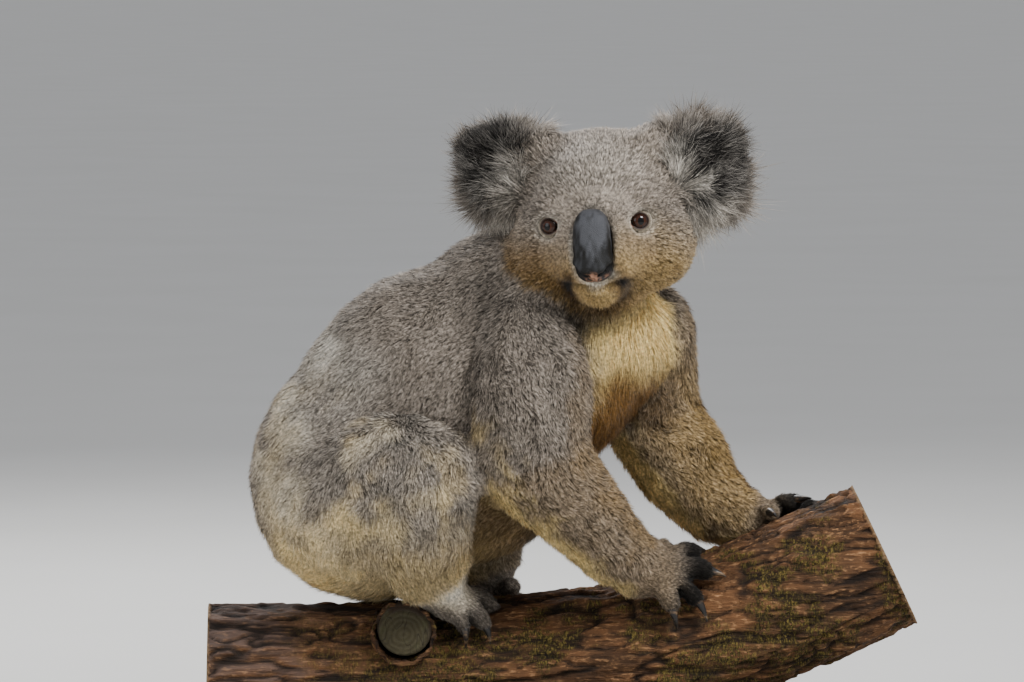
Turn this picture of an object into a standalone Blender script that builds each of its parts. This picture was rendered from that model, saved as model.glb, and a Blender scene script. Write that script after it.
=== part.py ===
"""A koala sitting on a cut length of branch, life size, held up by a plain display stand.

The flesh is fused from rounded masses into one body, thinned out, and then parted with thin cuts
into the parts that a person would name. X runs along the branch, towards the way the koala faces,
Y runs from its right side to its left, and Z is up. The origin is the middle of the stand's
underside. Points and radii in the tables are millimetres from the seat, the place on top of the
branch where the rump rests, or from the middle of the head, hand or foot that they belong to.
"""

import math

import bmesh
import bpy
from mathutils import Euler, Matrix, Vector

MM = 0.001
GAP = 0.0004  # clear space between pieces that touch

# The stand and the branch, in metres
BASE_LENGTH = 0.640
BASE_WIDTH = 0.330
BASE_THICKNESS = 0.018
BASE_CORNER = 0.030
BASE_EDGE = 0.003
SEAT_HEIGHT = 0.180
ROD_RADIUS = 0.009
ROD_PLACES = {"stand_rod_rear": -0.140, "stand_rod_front": 0.100}
ROD_DEPTH_IN_BRANCH = 0.020
BRANCH_RADIUS = 0.057
BRANCH_REAR, BRANCH_FRONT = -0.245, 0.285
BRANCH_STEPS = 10
BRANCH_SIDES = 4  # bevel resolution of the branch
KNOT_RADIUS = 0.021

# How fine the flesh is
MASS_VOXEL = 0.004
FLESH_VOXEL = 0.0028
MASS_SMOOTHING = 8
FLESH_SMOOTHING = 3
FLESH_SHARE = 0.0168  # share of the fused triangles that is kept
FINE_PAW, FINE_FACE = 0.78, 0.60  # how much the thinning counts there; 1 is everywhere else
ZONE_VOXEL = 0.005
ZONE_SMOOTHING = 8
ZONE_TRIANGLES = 360

# The trunk: centre, radii and turn about Z in degrees
TRUNK = {
    "rump": ((-117, 4, 96), (96, 98, 97), 0),
    "loin": ((-56, 2, 144), (119, 95, 119), 0),
    "withers": ((2, 2, 195), (98, 86, 100), -25),
    "breast": ((40, -2, 203), (70, 86, 70), -41),
}
NECK = ((32, -24, 244), (68, 62, 60), -20)
ZONE_GROWTH = 6  # how far outside a part's masses the part is cut from its neighbours

# The head, whose own frame has X to the koala's left, Y to the back of the skull and Z up
HEAD_PLACE = (64, -52, 304)
HEAD_TURN = (3, -3.9, -8.5)
HEAD = {
    "cranium": ((0, 14, 10), (66, 62, 55)),
    "crown": ((0, 4, 35), (52, 44, 32)),
    "jaw": ((0, -8, -38), (50, 46, 32)),
    "muzzle": ((0, -44, -26), (33, 31, 32)),
    "forehead": ((0, -26, 20), (45, 33, 36)),
    "chin": ((0, -46, -54), (19, 18, 13)),
}
HEAD_PAIRS = {
    "cheek": ((37, -4, -20), (35, 47, 41)),
    "brow": ((27, -33, 8), (26, 24, 22)),
    "crest": ((43, 6, 48), (23, 27, 22)),
}
NOSE_PLACE = (-0.5, -68, -17)
NOSE_RADII = (15, 14, 28.5)
NOSE_SQUARENESS = 0.72
NOSE_LEAN = 12  # degrees that its top leans back
EYE_PLACE = (33.5, -47, -2)
EYE_RADIUS = 9
EAR_DISH = ((0, -26, 2), (26, 20, 27))
EAR_SQUARENESS = 0.72
EARS = {"ear_right": ((-77, 10, 45), (43, 17, 42), -22), "ear_left": ((79, 10, 33), (40, 17, 47), 22)}

# The limbs: a centre line and the radius at each of its points
ARMS = {
    "right": {
        "line": ((8, -60, 208), (8, -86, 168), (12, -90, 120), (44, -82, 80), (69, -70, 50), (92, -60, 32)),
        "radii": (46, 49, 46, 37, 31, 25),
    },
    "left": {
        "line": ((98, 42, 206), (99, 50, 170), (106, 52, 138), (127, 48, 103), (154, 42, 71), (181, 35, 56)),
        "radii": (42, 41, 41, 41, 33, 24),
    },
}
LEGS = {
    "right": {
        "line": ((-128, -48, 84), (-108, -74, 98), (-80, -94, 109), (-79, -84, 68), (-73, -64, 40), (-69, -52, 20)),
        "radii": (64, 56, 45, 44, 36, 28),
    },
    "left": {
        "line": ((-116, 50, 84), (-78, 74, 96), (-42, 92, 96), (-31, 82, 62), (-26, 68, 36), (-28, 58, 12)),
        "radii": (62, 54, 46, 38, 29, 23),
    },
}

# Hands and feet: where each starts, where it points and which way its back faces
HANDS = {
    "right": {"place": (94, -57, 31), "forward": (0.96, 0.07, -0.27), "back": (0.25, -0.65, 0.71), "thumb": 1},
    "left": {"place": (181, 38, 48), "forward": (0.96, 0.05, 0.22), "back": (-0.22, 0.58, 0.78), "thumb": -1},
}
FEET = {
    "right": {"place": (-66, -50, 12), "forward": (0.89, 0.04, -0.46), "back": (0.30, -0.58, 0.75), "thumb": 1},
    "left": {"place": (-30, 58, -2), "forward": (0.80, 0.12, -0.58), "back": (0.30, 0.62, 0.72), "thumb": -1},
}
# Each digit: where it starts (forward, towards the thumb, up), its heading towards the thumb and its climb, both
# at its start and its end in degrees, its length, its radius and the length of its claw
HAND_DIGITS = {
    "1": ((10, 12, 1), (84, 66), (16, -52), 27, 6.8, 14),
    "2": ((16, 9, 3), (52, 38), (36, -34), 32, 6.8, 17),
    "3": ((20, 3, 5), (14, 6), (40, -26), 32, 7.2, 19),
    "4": ((18, -7, 4), (-6, -24), (14, -38), 30, 7.2, 17),
    "5": ((8, -12, 2), (-22, -42), (-2, -40), 25, 7.2, 16),
}
FOOT_DIGITS = {
    "1": ((10, 12, 0), (85, 75), (5, -50), 28, 8.6, 0),
    "2": ((24, 9, 3), (52, 44), (14, -40), 22, 6.0, 9),
    "3": ((27, 5, 4), (34, 26), (16, -38), 24, 6.2, 10),
    "4": ((26, -3, 4), (-2, -22), (8, -36), 21, 7.0, 11),
    "5": ((18, -8, 2), (-22, -42), (0, -36), 16, 7.0, 11),
}
HAND_PALM = ((5, 0, -6), (25, 18, 15))
FOOT_SOLE = ((2, 0, -4), (37, 17, 14))
CLAW_RADIUS = 2.6
CLAW_TIP_RADIUS = 0.5
CLAW_ROOT = 5  # how deep a claw sits in its digit
CLAW_DROOP = 22
CLAW_HEIGHTS = ((6, 14), (5, 14), (4.2, 11.5), (3, 7.5), (1.4, 2.2))  # least and most above the bark, root to tip

# Where the limbs part: the point of the centre line, and the radius of the cutter that takes the lower part
MIDDLE_CUTS = {"arm": (2, 130), "leg": (3, 52)}
END_CUT_RADIUS = 75

COLOURS = {
    "fur": ((0.33, 0.30, 0.27), 0.95, 0.0),
    "nose": ((0.05, 0.05, 0.06), 0.45, 0.0),
    "eye": ((0.10, 0.04, 0.02), 0.08, 0.0),
    "claw": ((0.06, 0.05, 0.05), 0.35, 0.0),
    "bark": ((0.20, 0.13, 0.08), 0.95, 0.0),
    "stand": ((0.05, 0.05, 0.05), 0.40, 0.0),
}


# Small tools


def clear_scene():
    for obj in list(bpy.data.objects):
        bpy.data.objects.remove(obj, do_unlink=True)


def material(name):
    """The Principled finish of this name, made once."""
    if name not in bpy.data.materials:
        made = bpy.data.materials.new(name)
        made.use_nodes = True
        colour, roughness, metallic = COLOURS[name]
        shader = made.node_tree.nodes["Principled BSDF"]
        shader.inputs["Base Color"].default_value = (*colour, 1)
        shader.inputs["Roughness"].default_value = roughness
        shader.inputs["Metallic"].default_value = metallic
    return bpy.data.materials[name]


def seat_frame():
    return Matrix.Translation((0, 0, SEAT_HEIGHT)) @ Matrix.Scale(MM, 4)


def head_frame():
    turn = Euler([math.radians(a) for a in HEAD_TURN]).to_matrix().to_4x4()
    return seat_frame() @ Matrix.Translation(HEAD_PLACE) @ turn


def paw_frame(paw):
    """The frame of a hand or foot: X forward, Z out of its back."""
    x = Vector(paw["forward"]).normalized()
    y = Vector(paw["back"]).cross(x).normalized()
    axes = Matrix((x, y, x.cross(y))).transposed().to_4x4()
    return seat_frame() @ Matrix.Translation(paw["place"]) @ axes


def settled(obj):
    """Gives obj the mesh that its modifiers and its place make, and takes both away."""
    bpy.context.view_layer.update()
    graph = bpy.context.evaluated_depsgraph_get()
    mesh = bpy.data.meshes.new_from_object(obj.evaluated_get(graph))
    mesh.transform(obj.matrix_world)
    if obj.type == "MESH":
        obj.modifiers.clear()
        obj.data = mesh
        obj.matrix_world = Matrix.Identity(4)
        return obj
    name, home = obj.name, obj.users_collection[0]
    bpy.data.objects.remove(obj)
    solid = bpy.data.objects.new(name, mesh)
    home.objects.link(solid)
    weld(solid)
    return solid


def weld(obj):
    """Joins a tube's caps to its sides."""
    cage = bmesh.new()
    cage.from_mesh(obj.data)
    bmesh.ops.remove_doubles(cage, verts=cage.verts, dist=1e-6)
    bmesh.ops.recalc_face_normals(cage, faces=cage.faces)
    cage.to_mesh(obj.data)
    cage.free()


def ball(frame, centre, radii, turn=0, segments=32, squareness=1):
    """An ellipsoid in a frame, turned about the frame's Z; under 1, squareness fills its corners."""
    bpy.ops.mesh.primitive_uv_sphere_add(segments=segments, ring_count=segments // 2, radius=1)
    obj = bpy.context.object
    for vertex in obj.data.vertices:
        vertex.co = [math.copysign(abs(value) ** squareness, value) for value in vertex.co]
    stretch = Matrix.Diagonal((*radii, 1))
    obj.data.transform(frame @ Matrix.Translation(centre) @ Matrix.Rotation(math.radians(turn), 4, "Z") @ stretch)
    return obj


def grown(radii, by):
    return tuple(r + by for r in radii)


def tube(frame, points, radii, sides=4, steps=6, round_ends=True):
    """A tapering limb along points, with a ball at each end."""
    curve = bpy.data.curves.new("tube", "CURVE")
    curve.dimensions = "3D"
    curve.bevel_depth = 1
    curve.bevel_resolution = sides
    curve.use_fill_caps = True
    curve.resolution_u = steps
    spline = curve.splines.new("BEZIER")
    spline.bezier_points.add(len(points) - 1)
    spline.radius_interpolation = "EASE"
    for knot, point, radius in zip(spline.bezier_points, points, radii):
        knot.co = frame @ Vector(point)
        knot.radius = radius * MM
        knot.handle_left_type = knot.handle_right_type = "AUTO"
    obj = bpy.data.objects.new("tube", curve)
    bpy.context.scene.collection.objects.link(obj)
    made = [settled(obj)]
    if round_ends:
        ends = ((points[0], radii[0]), (points[-1], radii[-1]))
        made += [ball(frame, point, (radius,) * 3) for point, radius in ends]
    return made


def joined(name, objects):
    """One object that holds all these meshes."""
    bpy.ops.object.select_all(action="DESELECT")
    for obj in objects:
        obj.select_set(True)
    bpy.context.view_layer.objects.active = objects[0]
    if len(objects) > 1:
        bpy.ops.object.join()
    objects[0].name = name
    return objects[0]


def fused(name, objects, voxel, smoothing):
    """The masses melted into one closed skin."""
    body = joined(name, objects)
    melt = body.modifiers.new("melt", "REMESH")
    melt.mode = "VOXEL"
    melt.voxel_size = voxel
    soften = body.modifiers.new("soften", "SMOOTH")
    soften.factor = 0.5
    soften.iterations = smoothing
    return settled(body)


def cut(obj, cutter, operation="DIFFERENCE"):
    """Cuts obj by another mesh, which stays."""
    knife = obj.modifiers.new("cut", "BOOLEAN")
    knife.object = cutter
    knife.operation = operation
    settled(obj)


def copy_of(obj):
    twin = obj.copy()
    twin.data = obj.data.copy()
    bpy.context.scene.collection.objects.link(twin)
    return twin


def discard(*objects):
    for obj in objects:
        bpy.data.objects.remove(obj)


def swollen(obj, by=GAP):
    """A copy of a closed mesh, bigger all round."""
    twin = copy_of(obj)
    push = twin.modifiers.new("push", "DISPLACE")
    push.strength = by
    push.mid_level = 0
    return settled(twin)


def taken(obj, zone):
    """Takes what is inside the zone out of obj and returns it, with a clear gap between the two."""
    inside = copy_of(obj)
    cut(inside, zone, "INTERSECT")
    bigger = swollen(zone)
    cut(obj, bigger)
    discard(zone, bigger)
    return inside


def zone_of(masses):
    """A plain closed solid round a part's masses, for taking the part out of the body."""
    zone = fused("zone", masses, ZONE_VOXEL, ZONE_SMOOTHING)
    thin = zone.modifiers.new("thin", "DECIMATE")
    thin.ratio = ZONE_TRIANGLES / (2 * len(zone.data.polygons))
    return settled(zone)


def drum(frame, centre, normal, radius, length=150):
    """A cylinder whose flat end is at centre and which runs along normal, for taking a limb's lower part."""
    direction = Vector(normal).normalized()
    bpy.ops.mesh.primitive_cylinder_add(vertices=32, radius=radius * MM, depth=length * MM)
    obj = bpy.context.object
    turn = direction.to_track_quat("Z", "Y").to_matrix().to_4x4()
    obj.matrix_world = Matrix.Translation(frame @ (Vector(centre) + direction * length / 2)) @ turn
    return settled(obj)


# The branch and its stand


def branch_rise(x):
    """How far the branch's top is above the seat at x, and its slope there: level, then climbing to the front."""
    bend, steepness, softness = 0.075, 0.50, 0.090
    run = x - bend
    return steepness / 2 * (run + math.hypot(run, softness)) - 0.0046, steepness / 2 * (1 + run / math.hypot(run, softness))


def branch_axis(x):
    """The middle of the branch at x with its height from the seat, its radius and its slope, in metres."""
    share = (x - BRANCH_REAR) / (BRANCH_FRONT - BRANCH_REAR)
    radius = BRANCH_RADIUS * (1 + 0.08 * share + 0.025 * math.sin(9 * share))
    rise, slope = branch_rise(x)
    return Vector((x, 0.004 * math.sin(5 * share), rise - radius * math.hypot(1, slope))), radius, slope


def laid_on_bark(point, lowest, highest):
    """A point in millimetres from the seat, moved straight in or out to between these heights above the bark."""
    place = point * MM
    x = place.x
    for _ in range(4):
        middle, radius, slope = branch_axis(x)
        x += (place - middle).dot(Vector((1, 0, slope))) / (1 + slope * slope)
    out = place - middle
    height = min(max(out.length - radius, lowest * MM), highest * MM)
    return (middle + out.normalized() * (radius + height)) / MM


def branch_tube(name, extra):
    """The branch, thicker all round by extra. It swells a little towards its front end."""
    curve = bpy.data.curves.new(name, "CURVE")
    curve.dimensions = "3D"
    curve.bevel_depth = 1
    curve.bevel_resolution = BRANCH_SIDES
    curve.use_fill_caps = True
    spline = curve.splines.new("POLY")
    spline.points.add(BRANCH_STEPS)
    for i, point in enumerate(spline.points):
        x = BRANCH_REAR + (BRANCH_FRONT - BRANCH_REAR) * i / BRANCH_STEPS
        middle, radius, _ = branch_axis(x)
        point.co = (*(middle + Vector((0, 0, SEAT_HEIGHT))), 1)
        point.radius = radius + extra
    obj = bpy.data.objects.new(name, curve)
    bpy.context.scene.collection.objects.link(obj)
    return settled(obj)


def rod(name, x, extra=0):
    """An upright rod, from the base into the branch."""
    rise, slope = branch_rise(x)
    top = SEAT_HEIGHT + rise - 2 * BRANCH_RADIUS * math.hypot(1, slope) + ROD_DEPTH_IN_BRANCH + extra
    bottom = BASE_THICKNESS + GAP - extra
    bpy.ops.mesh.primitive_cylinder_add(vertices=24, radius=ROD_RADIUS + extra, depth=top - bottom)
    obj = bpy.context.object
    obj.location = (x, 0, (top + bottom) / 2)
    obj.name = name
    return settled(obj)


def stand_base():
    bpy.ops.mesh.primitive_cube_add(size=1)
    obj = bpy.context.object
    obj.name = "stand_base"
    obj.data.transform(Matrix.Diagonal((BASE_LENGTH, BASE_WIDTH, BASE_THICKNESS, 1)))
    obj.location.z = BASE_THICKNESS / 2
    uprights = obj.data.attributes.new("bevel_weight_edge", "FLOAT", "EDGE")
    for edge in obj.data.edges:
        a, b = (obj.data.vertices[v].co for v in edge.vertices)
        uprights.data[edge.index].value = float(abs(a.z - b.z) > BASE_THICKNESS / 2)
    corners = obj.modifiers.new("corners", "BEVEL")
    corners.limit_method = "WEIGHT"
    corners.width = BASE_CORNER
    corners.segments = 5
    edges = obj.modifiers.new("edges", "BEVEL")
    edges.limit_method = "ANGLE"
    edges.angle_limit = math.radians(60)
    edges.width = BASE_EDGE
    edges.segments = 2
    return settled(obj)


def knot(extra=0):
    """The sawn stub of a side branch, on the branch's right side."""
    bpy.ops.mesh.primitive_cylinder_add(vertices=28, radius=KNOT_RADIUS + extra, depth=0.046 + 2 * extra)
    obj = bpy.context.object
    obj.rotation_euler = (math.radians(84), 0, math.radians(3))
    obj.location = (-0.090, -0.036, SEAT_HEIGHT - 0.019)
    obj.name = "perch_knot"
    return settled(obj)


# The koala


def trunk_masses(extra=0):
    frame = seat_frame()
    return [ball(frame, c, grown(r, extra), turn) for c, r, turn in TRUNK.values()]


def head_masses(extra=0):
    frame = head_frame()
    made = [ball(frame, c, grown(r, extra)) for c, r in HEAD.values()]
    for centre, radii in HEAD_PAIRS.values():
        for side in (-1, 1):
            made.append(ball(frame, (side * centre[0], *centre[1:]), grown(radii, extra)))
    return made


def arc(start, headings, climbs, length, steps):
    """Points in a paw's frame along a line whose heading and climb, in degrees, change steadily."""
    points = [Vector(start)]
    for i in range(steps):
        share = (i + 0.5) / steps
        yaw, pitch = (math.radians(a + (b - a) * share) for a, b in (headings, climbs))
        step = Vector((math.cos(pitch) * math.cos(yaw), math.cos(pitch) * math.sin(yaw), math.sin(pitch)))
        points.append(points[-1] + step * length / steps)
    return points


def digits_of(paw, table):
    """For each digit of a hand or foot: its flesh line, radius, claw line and claw length, laid on the bark."""
    side = paw["thumb"]
    to_seat = seat_frame().inverted() @ paw_frame(paw)
    for number, ((ahead, across, up), headings, climbs, length, radius, claw) in table.items():
        turns = [side * angle for angle in headings]
        flesh = arc((ahead, side * across, up), turns, climbs, length, 3)
        way = (flesh[-1] - flesh[-2]).normalized()
        root = flesh[-1] + way * (radius * 0.84 - CLAW_ROOT)
        bend = (turns[1], turns[1] + 0.5 * (turns[1] - turns[0]))
        talon = arc(root, bend, (climbs[1] + 14, climbs[1] - CLAW_DROOP), claw + CLAW_ROOT, 4)
        flesh = [laid_on_bark(to_seat @ p, radius * 0.9, high) for p, high in zip(flesh, (34, 30, 23, radius + 5))]
        talon = [laid_on_bark(to_seat @ p, low, high) for p, (low, high) in zip(talon, CLAW_HEIGHTS)]
        yield number, flesh, radius, talon, claw


def paw_masses(paw, table, palm):
    made = [ball(paw_frame(paw), *palm)]
    for _, flesh, radius, _, _ in digits_of(paw, table):
        made += tube(seat_frame(), flesh, (radius * 1.05, radius, radius, radius * 0.84))
    return made


def claws_of(limb, side, paw, table, extra=0):
    """The claws of one hand or foot, each its own solid."""
    made = []
    for number, _, _, talon, length in digits_of(paw, table):
        if not length:
            continue
        thick = CLAW_RADIUS * (0.7 + 0.3 * length / 18)
        radii = [thick + (CLAW_TIP_RADIUS - thick) * (i / 4) ** 1.4 + extra for i in range(5)]
        claw = tube(seat_frame(), talon, radii, sides=1, steps=1, round_ends=False)[0]
        claw.name = f"claw_{limb}_{side}_{number}"
        made.append(claw)
    return made


def all_claws(extra=0):
    made = []
    for side in ("right", "left"):
        made += claws_of("hand", side, HANDS[side], HAND_DIGITS, extra)
        made += claws_of("foot", side, FEET[side], FOOT_DIGITS, extra)
    return made


def nose(extra=0):
    """The leathery nose: a tall block with round corners that leans back at the top."""
    frame = head_frame() @ Matrix.Translation(NOSE_PLACE) @ Matrix.Rotation(math.radians(-NOSE_LEAN), 4, "X")
    obj = ball(frame, (0, 0, 0), grown(NOSE_RADII, extra), segments=16, squareness=NOSE_SQUARENESS)
    obj.name = "nose"
    return obj


def eye(side, extra=0):
    obj = ball(head_frame(), (side * EYE_PLACE[0], *EYE_PLACE[1:]), (EYE_RADIUS + extra,) * 3, segments=12)
    obj.name = "eye_left" if side > 0 else "eye_right"
    return obj


def ear(name):
    """A round, thick-furred ear with a shallow dish in front."""
    place, radii, turn = EARS[name]
    frame = head_frame() @ Matrix.Translation(place) @ Matrix.Rotation(math.radians(turn), 4, "Z")
    obj = ball(frame, (0, 0, 0), radii, segments=16, squareness=EAR_SQUARENESS)
    dish = ball(frame, *EAR_DISH, segments=12)
    cut(obj, dish)
    discard(dish)
    obj.name = name
    return obj


def limb_line(limb):
    return [Vector(point) for point in limb["line"]]


def whole_flesh():
    """Everything furred but the ears, fused into one body and thinned out."""
    seat = seat_frame()
    masses = trunk_masses() + [ball(seat, *NECK)] + head_masses()
    for limb in (*ARMS.values(), *LEGS.values()):
        masses += tube(seat, limb["line"], limb["radii"])
    body = fused("masses", masses, MASS_VOXEL, MASS_SMOOTHING)
    paws = []
    for side in ("right", "left"):
        paws += paw_masses(HANDS[side], HAND_DIGITS, HAND_PALM)
        paws += paw_masses(FEET[side], FOOT_DIGITS, FOOT_SOLE)
    body = fused("flesh", [body, *paws], FLESH_VOXEL, FLESH_SMOOTHING)
    return thinned(body)


def thinned(body):
    """Fewer triangles on the plain parts of the body, and more kept on the face, hands and feet."""
    plain = body.vertex_groups.new(name="plain")
    face = head_frame() @ Vector((0, -50, -12))
    paws = [paw_frame(paw) @ Vector((22, 0, 0)) for paw in (*HANDS.values(), *FEET.values())]
    for vertex in body.data.vertices:
        to_paw = min((vertex.co - paw).length for paw in paws) / 0.050
        to_face = (vertex.co - face).length / 0.060
        weight = min(1.0, FINE_PAW + max(0.0, to_paw - 0.8), FINE_FACE + max(0.0, to_face - 0.8))
        plain.add([vertex.index], weight, "REPLACE")
    thin = body.modifiers.new("thin", "DECIMATE")
    thin.ratio = FLESH_SHARE
    thin.vertex_group = "plain"
    return settled(body)


def loose_pieces(obj):
    """The separate bodies of a mesh, the biggest first."""
    bpy.ops.object.select_all(action="DESELECT")
    obj.select_set(True)
    bpy.context.view_layer.objects.active = obj
    bpy.ops.object.mode_set(mode="EDIT")
    bpy.ops.mesh.select_all(action="SELECT")
    bpy.ops.mesh.separate(type="LOOSE")
    bpy.ops.object.mode_set(mode="OBJECT")
    return sorted(bpy.context.selected_objects, key=lambda o: -len(o.data.vertices))


def biggest(name, obj):
    """The biggest body of a mesh, named; the crumbs that a cut left beside it are dropped."""
    first, *crumbs = loose_pieces(obj)
    discard(*crumbs)
    first.name = name
    return first


def limb_parts(whole, names, line, ending, middle_cut):
    """An arm or a leg cut in three at its elbow or knee and at its wrist or ankle."""
    index, radius = middle_cut
    seat = seat_frame()
    along = (line[-1] - line[-2]).normalized() + Vector(ending["forward"]).normalized()
    end = taken(whole, drum(seat, line[-1], along, END_CUT_RADIUS))
    lower = taken(whole, drum(seat, line[index], line[index + 1] - line[index - 1], radius))
    return [biggest(name, piece) for piece, name in zip((whole, lower, end), names)]


def parted(body):
    """The named parts of the body: the head first, then the trunk and neck, then the legs and arms."""
    seat = seat_frame()
    zones = {
        "head": zone_of(head_masses(ZONE_GROWTH)),
        "trunk": zone_of(trunk_masses(ZONE_GROWTH)),
        "neck": ball(seat, NECK[0], grown(NECK[1], ZONE_GROWTH), NECK[2], segments=22),
    }
    made = [biggest(name, taken(body, zone)) for name, zone in zones.items()]
    for side in ("right", "left"):
        leg, foot = LEGS[side], FEET[side]
        masses = tube(seat, leg["line"], grown(leg["radii"], ZONE_GROWTH))
        masses.append(ball(paw_frame(foot), (20, 0, -4), (60, 50, 40)))
        whole = taken(body, zone_of(masses))
        names = [f"{name}_{side}" for name in ("thigh", "shank", "foot")]
        made += limb_parts(whole, names, limb_line(leg), foot, MIDDLE_CUTS["leg"])
    arms = loose_pieces(body)
    for side in ("right", "left"):
        line = limb_line(ARMS[side])
        elbow = seat @ line[3]
        whole = min(arms[:2], key=lambda o: min((v.co - elbow).length for v in o.data.vertices))
        names = [f"{name}_{side}" for name in ("upper_arm", "forearm", "hand")]
        arms.remove(whole)
        made += limb_parts(whole, names, line, HANDS[side], MIDDLE_CUTS["arm"])
    discard(*arms)
    return made


def shade(obj):
    obj.data.shade_smooth()
    obj.data.set_sharp_from_angle(angle=math.radians(40))


def main():
    clear_scene()
    parts = bpy.data.collections.new("koala_on_branch")
    bpy.context.scene.collection.children.link(parts)

    branch = branch_tube("perch_branch", 0)
    stub = knot()
    claws = all_claws()
    eyes = [eye(-1), eye(1)]
    muzzle_leather = nose()
    rods = [rod(name, x) for name, x in ROD_PLACES.items()]
    base = stand_base()

    body = whole_flesh()

    # Room for what sits in the flesh or under it
    claw_room = joined("claw_room", all_claws(GAP / MM))
    knot_room = knot(GAP)
    room = [branch_tube("branch_room", GAP), nose(GAP / MM), eye(-1, GAP / MM), eye(1, GAP / MM)]
    for filler in (*room, knot_room, claw_room):
        cut(body, filler)
    cut(branch, claw_room)
    cut(branch, knot_room)
    cut(stub, claw_room)
    for name, x in ROD_PLACES.items():
        hole = rod("hole", x, GAP)
        cut(branch, hole)
        discard(hole)
    discard(*room, knot_room, claw_room)

    flesh = parted(body)
    skull_room = swollen(flesh[0])
    ears = [ear(name) for name in EARS]
    for lobe in ears:
        cut(lobe, skull_room)
    discard(skull_room)
    flesh += [biggest(name, lobe) for name, lobe in zip(EARS, ears)]

    finishes = {
        "fur": flesh,
        "eye": eyes,
        "nose": [muzzle_leather],
        "claw": claws,
        "bark": [branch, stub],
        "stand": [base, *rods],
    }
    for finish, objects in finishes.items():
        for obj in objects:
            for home in obj.users_collection:
                home.objects.unlink(obj)
            parts.objects.link(obj)
            obj.data.materials.clear()
            obj.data.materials.append(material(finish))
            shade(obj)


main()
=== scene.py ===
# %% [markdown]
# # A life-size koala on its branch
# The object is a still, museum-style model: a grown koala sits side-on along a thick branch with both hands
# forward, and looks round at the viewer. The solid shape of every part comes ready-made as a fixed frame,
# in metres. This file dresses that frame: one furry skin, the eyes with their lids, the leather nose, horn
# claws, rough bark with moss, and a plain stand. The frame's parts are never moved. So each new piece is
# built in place and rides on the same body as the part it covers.

# %% Load the frame
import math
import time

import bpy
import numpy as np
from mathutils import Euler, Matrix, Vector
from mathutils.bvhtree import BVHTree


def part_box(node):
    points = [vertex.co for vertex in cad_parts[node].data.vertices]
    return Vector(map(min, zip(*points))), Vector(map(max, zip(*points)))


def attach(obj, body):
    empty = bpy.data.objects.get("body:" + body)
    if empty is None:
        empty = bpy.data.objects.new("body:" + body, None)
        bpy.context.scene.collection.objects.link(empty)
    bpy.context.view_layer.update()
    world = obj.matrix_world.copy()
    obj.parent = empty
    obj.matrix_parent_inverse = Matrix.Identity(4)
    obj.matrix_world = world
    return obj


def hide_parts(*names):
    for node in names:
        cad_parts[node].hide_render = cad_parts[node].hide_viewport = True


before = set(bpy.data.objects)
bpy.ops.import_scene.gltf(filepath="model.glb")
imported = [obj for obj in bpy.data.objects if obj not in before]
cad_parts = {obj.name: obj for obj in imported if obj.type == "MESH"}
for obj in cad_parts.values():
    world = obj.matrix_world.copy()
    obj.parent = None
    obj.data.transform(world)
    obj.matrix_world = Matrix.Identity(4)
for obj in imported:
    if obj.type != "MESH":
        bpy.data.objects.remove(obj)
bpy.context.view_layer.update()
started = time.time()
SIDES = ("right", "left")


def middle(node):
    """The middle of a frame part's box."""
    low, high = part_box(node)
    return np.array(low + high) / 2


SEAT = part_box("trunk")[0].z  # the height of the bark that the koala sits on
print("frame loaded, seat at", round(SEAT, 4), "m")

# %% [markdown]
# ## A small language for finishes
# A finish is a chain of shader nodes. Wiring dozens of nodes by hand hides the idea behind them, so a small
# class wraps a node's output and lets it be added and multiplied like a number: each sum adds its Math
# node.


# %% Shader sums
class Value:
    """One output of a node, which Python sums can use as if it were a number."""

    def __init__(self, finish, socket):
        self.finish, self.socket = finish, socket

    def math(self, operation, *numbers, clamp=False):
        """A Math node on these numbers or values."""
        settings = {"operation": operation, "use_clamp": clamp}
        return self.finish.node("ShaderNodeMath", settings, dict(enumerate(numbers)))

    def __add__(self, other):
        return self.math("ADD", self, other)

    def __sub__(self, other):
        return self.math("SUBTRACT", self, other)

    def __rsub__(self, other):
        return self.math("SUBTRACT", other, self)

    def __mul__(self, other):
        return self.math("MULTIPLY", self, other)

    def __truediv__(self, other):
        return self.math("DIVIDE", self, other)

    __radd__, __rmul__ = __add__, __mul__

    def held(self):
        """The same number, kept between 0 and 1."""
        return self.math("ADD", self, 0.0, clamp=True)

    def size(self):
        """The same number without its sign."""
        return self.math("ABSOLUTE", self)

    def wave(self):
        """A soft wave from 0 to 1 and back as the number grows."""
        return self.math("SINE", self) * 0.5 + 0.5

    def step(self, low, high):
        """0 below low, 1 above high, and a soft slope between."""
        sockets = {"Value": self, "From Min": low, "From Max": high}
        return self.finish.node("ShaderNodeMapRange", {"interpolation_type": "SMOOTHSTEP"}, sockets)


print("shader sums ready")

# %% [markdown]
# ## One class for a material
# Every surface here is one Principled shader, so a finish holds that shader and a method that adds any
# other node, given its type, its settings and the values or links of its sockets. The rest are short names
# for the patterns used again and again: numbers stored on the mesh, cloudy noise, colour mixes and bump.


# %% Finishes
def tone(red, green, blue):
    """A colour as a screen shows it, 0 to 255, turned into the linear light that shaders use."""
    shares = (c / 255 for c in (red, green, blue))
    return tuple(c / 12.92 if c < 0.04045 else ((c + 0.055) / 1.055) ** 2.4 for c in shares) + (1.0,)


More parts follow.
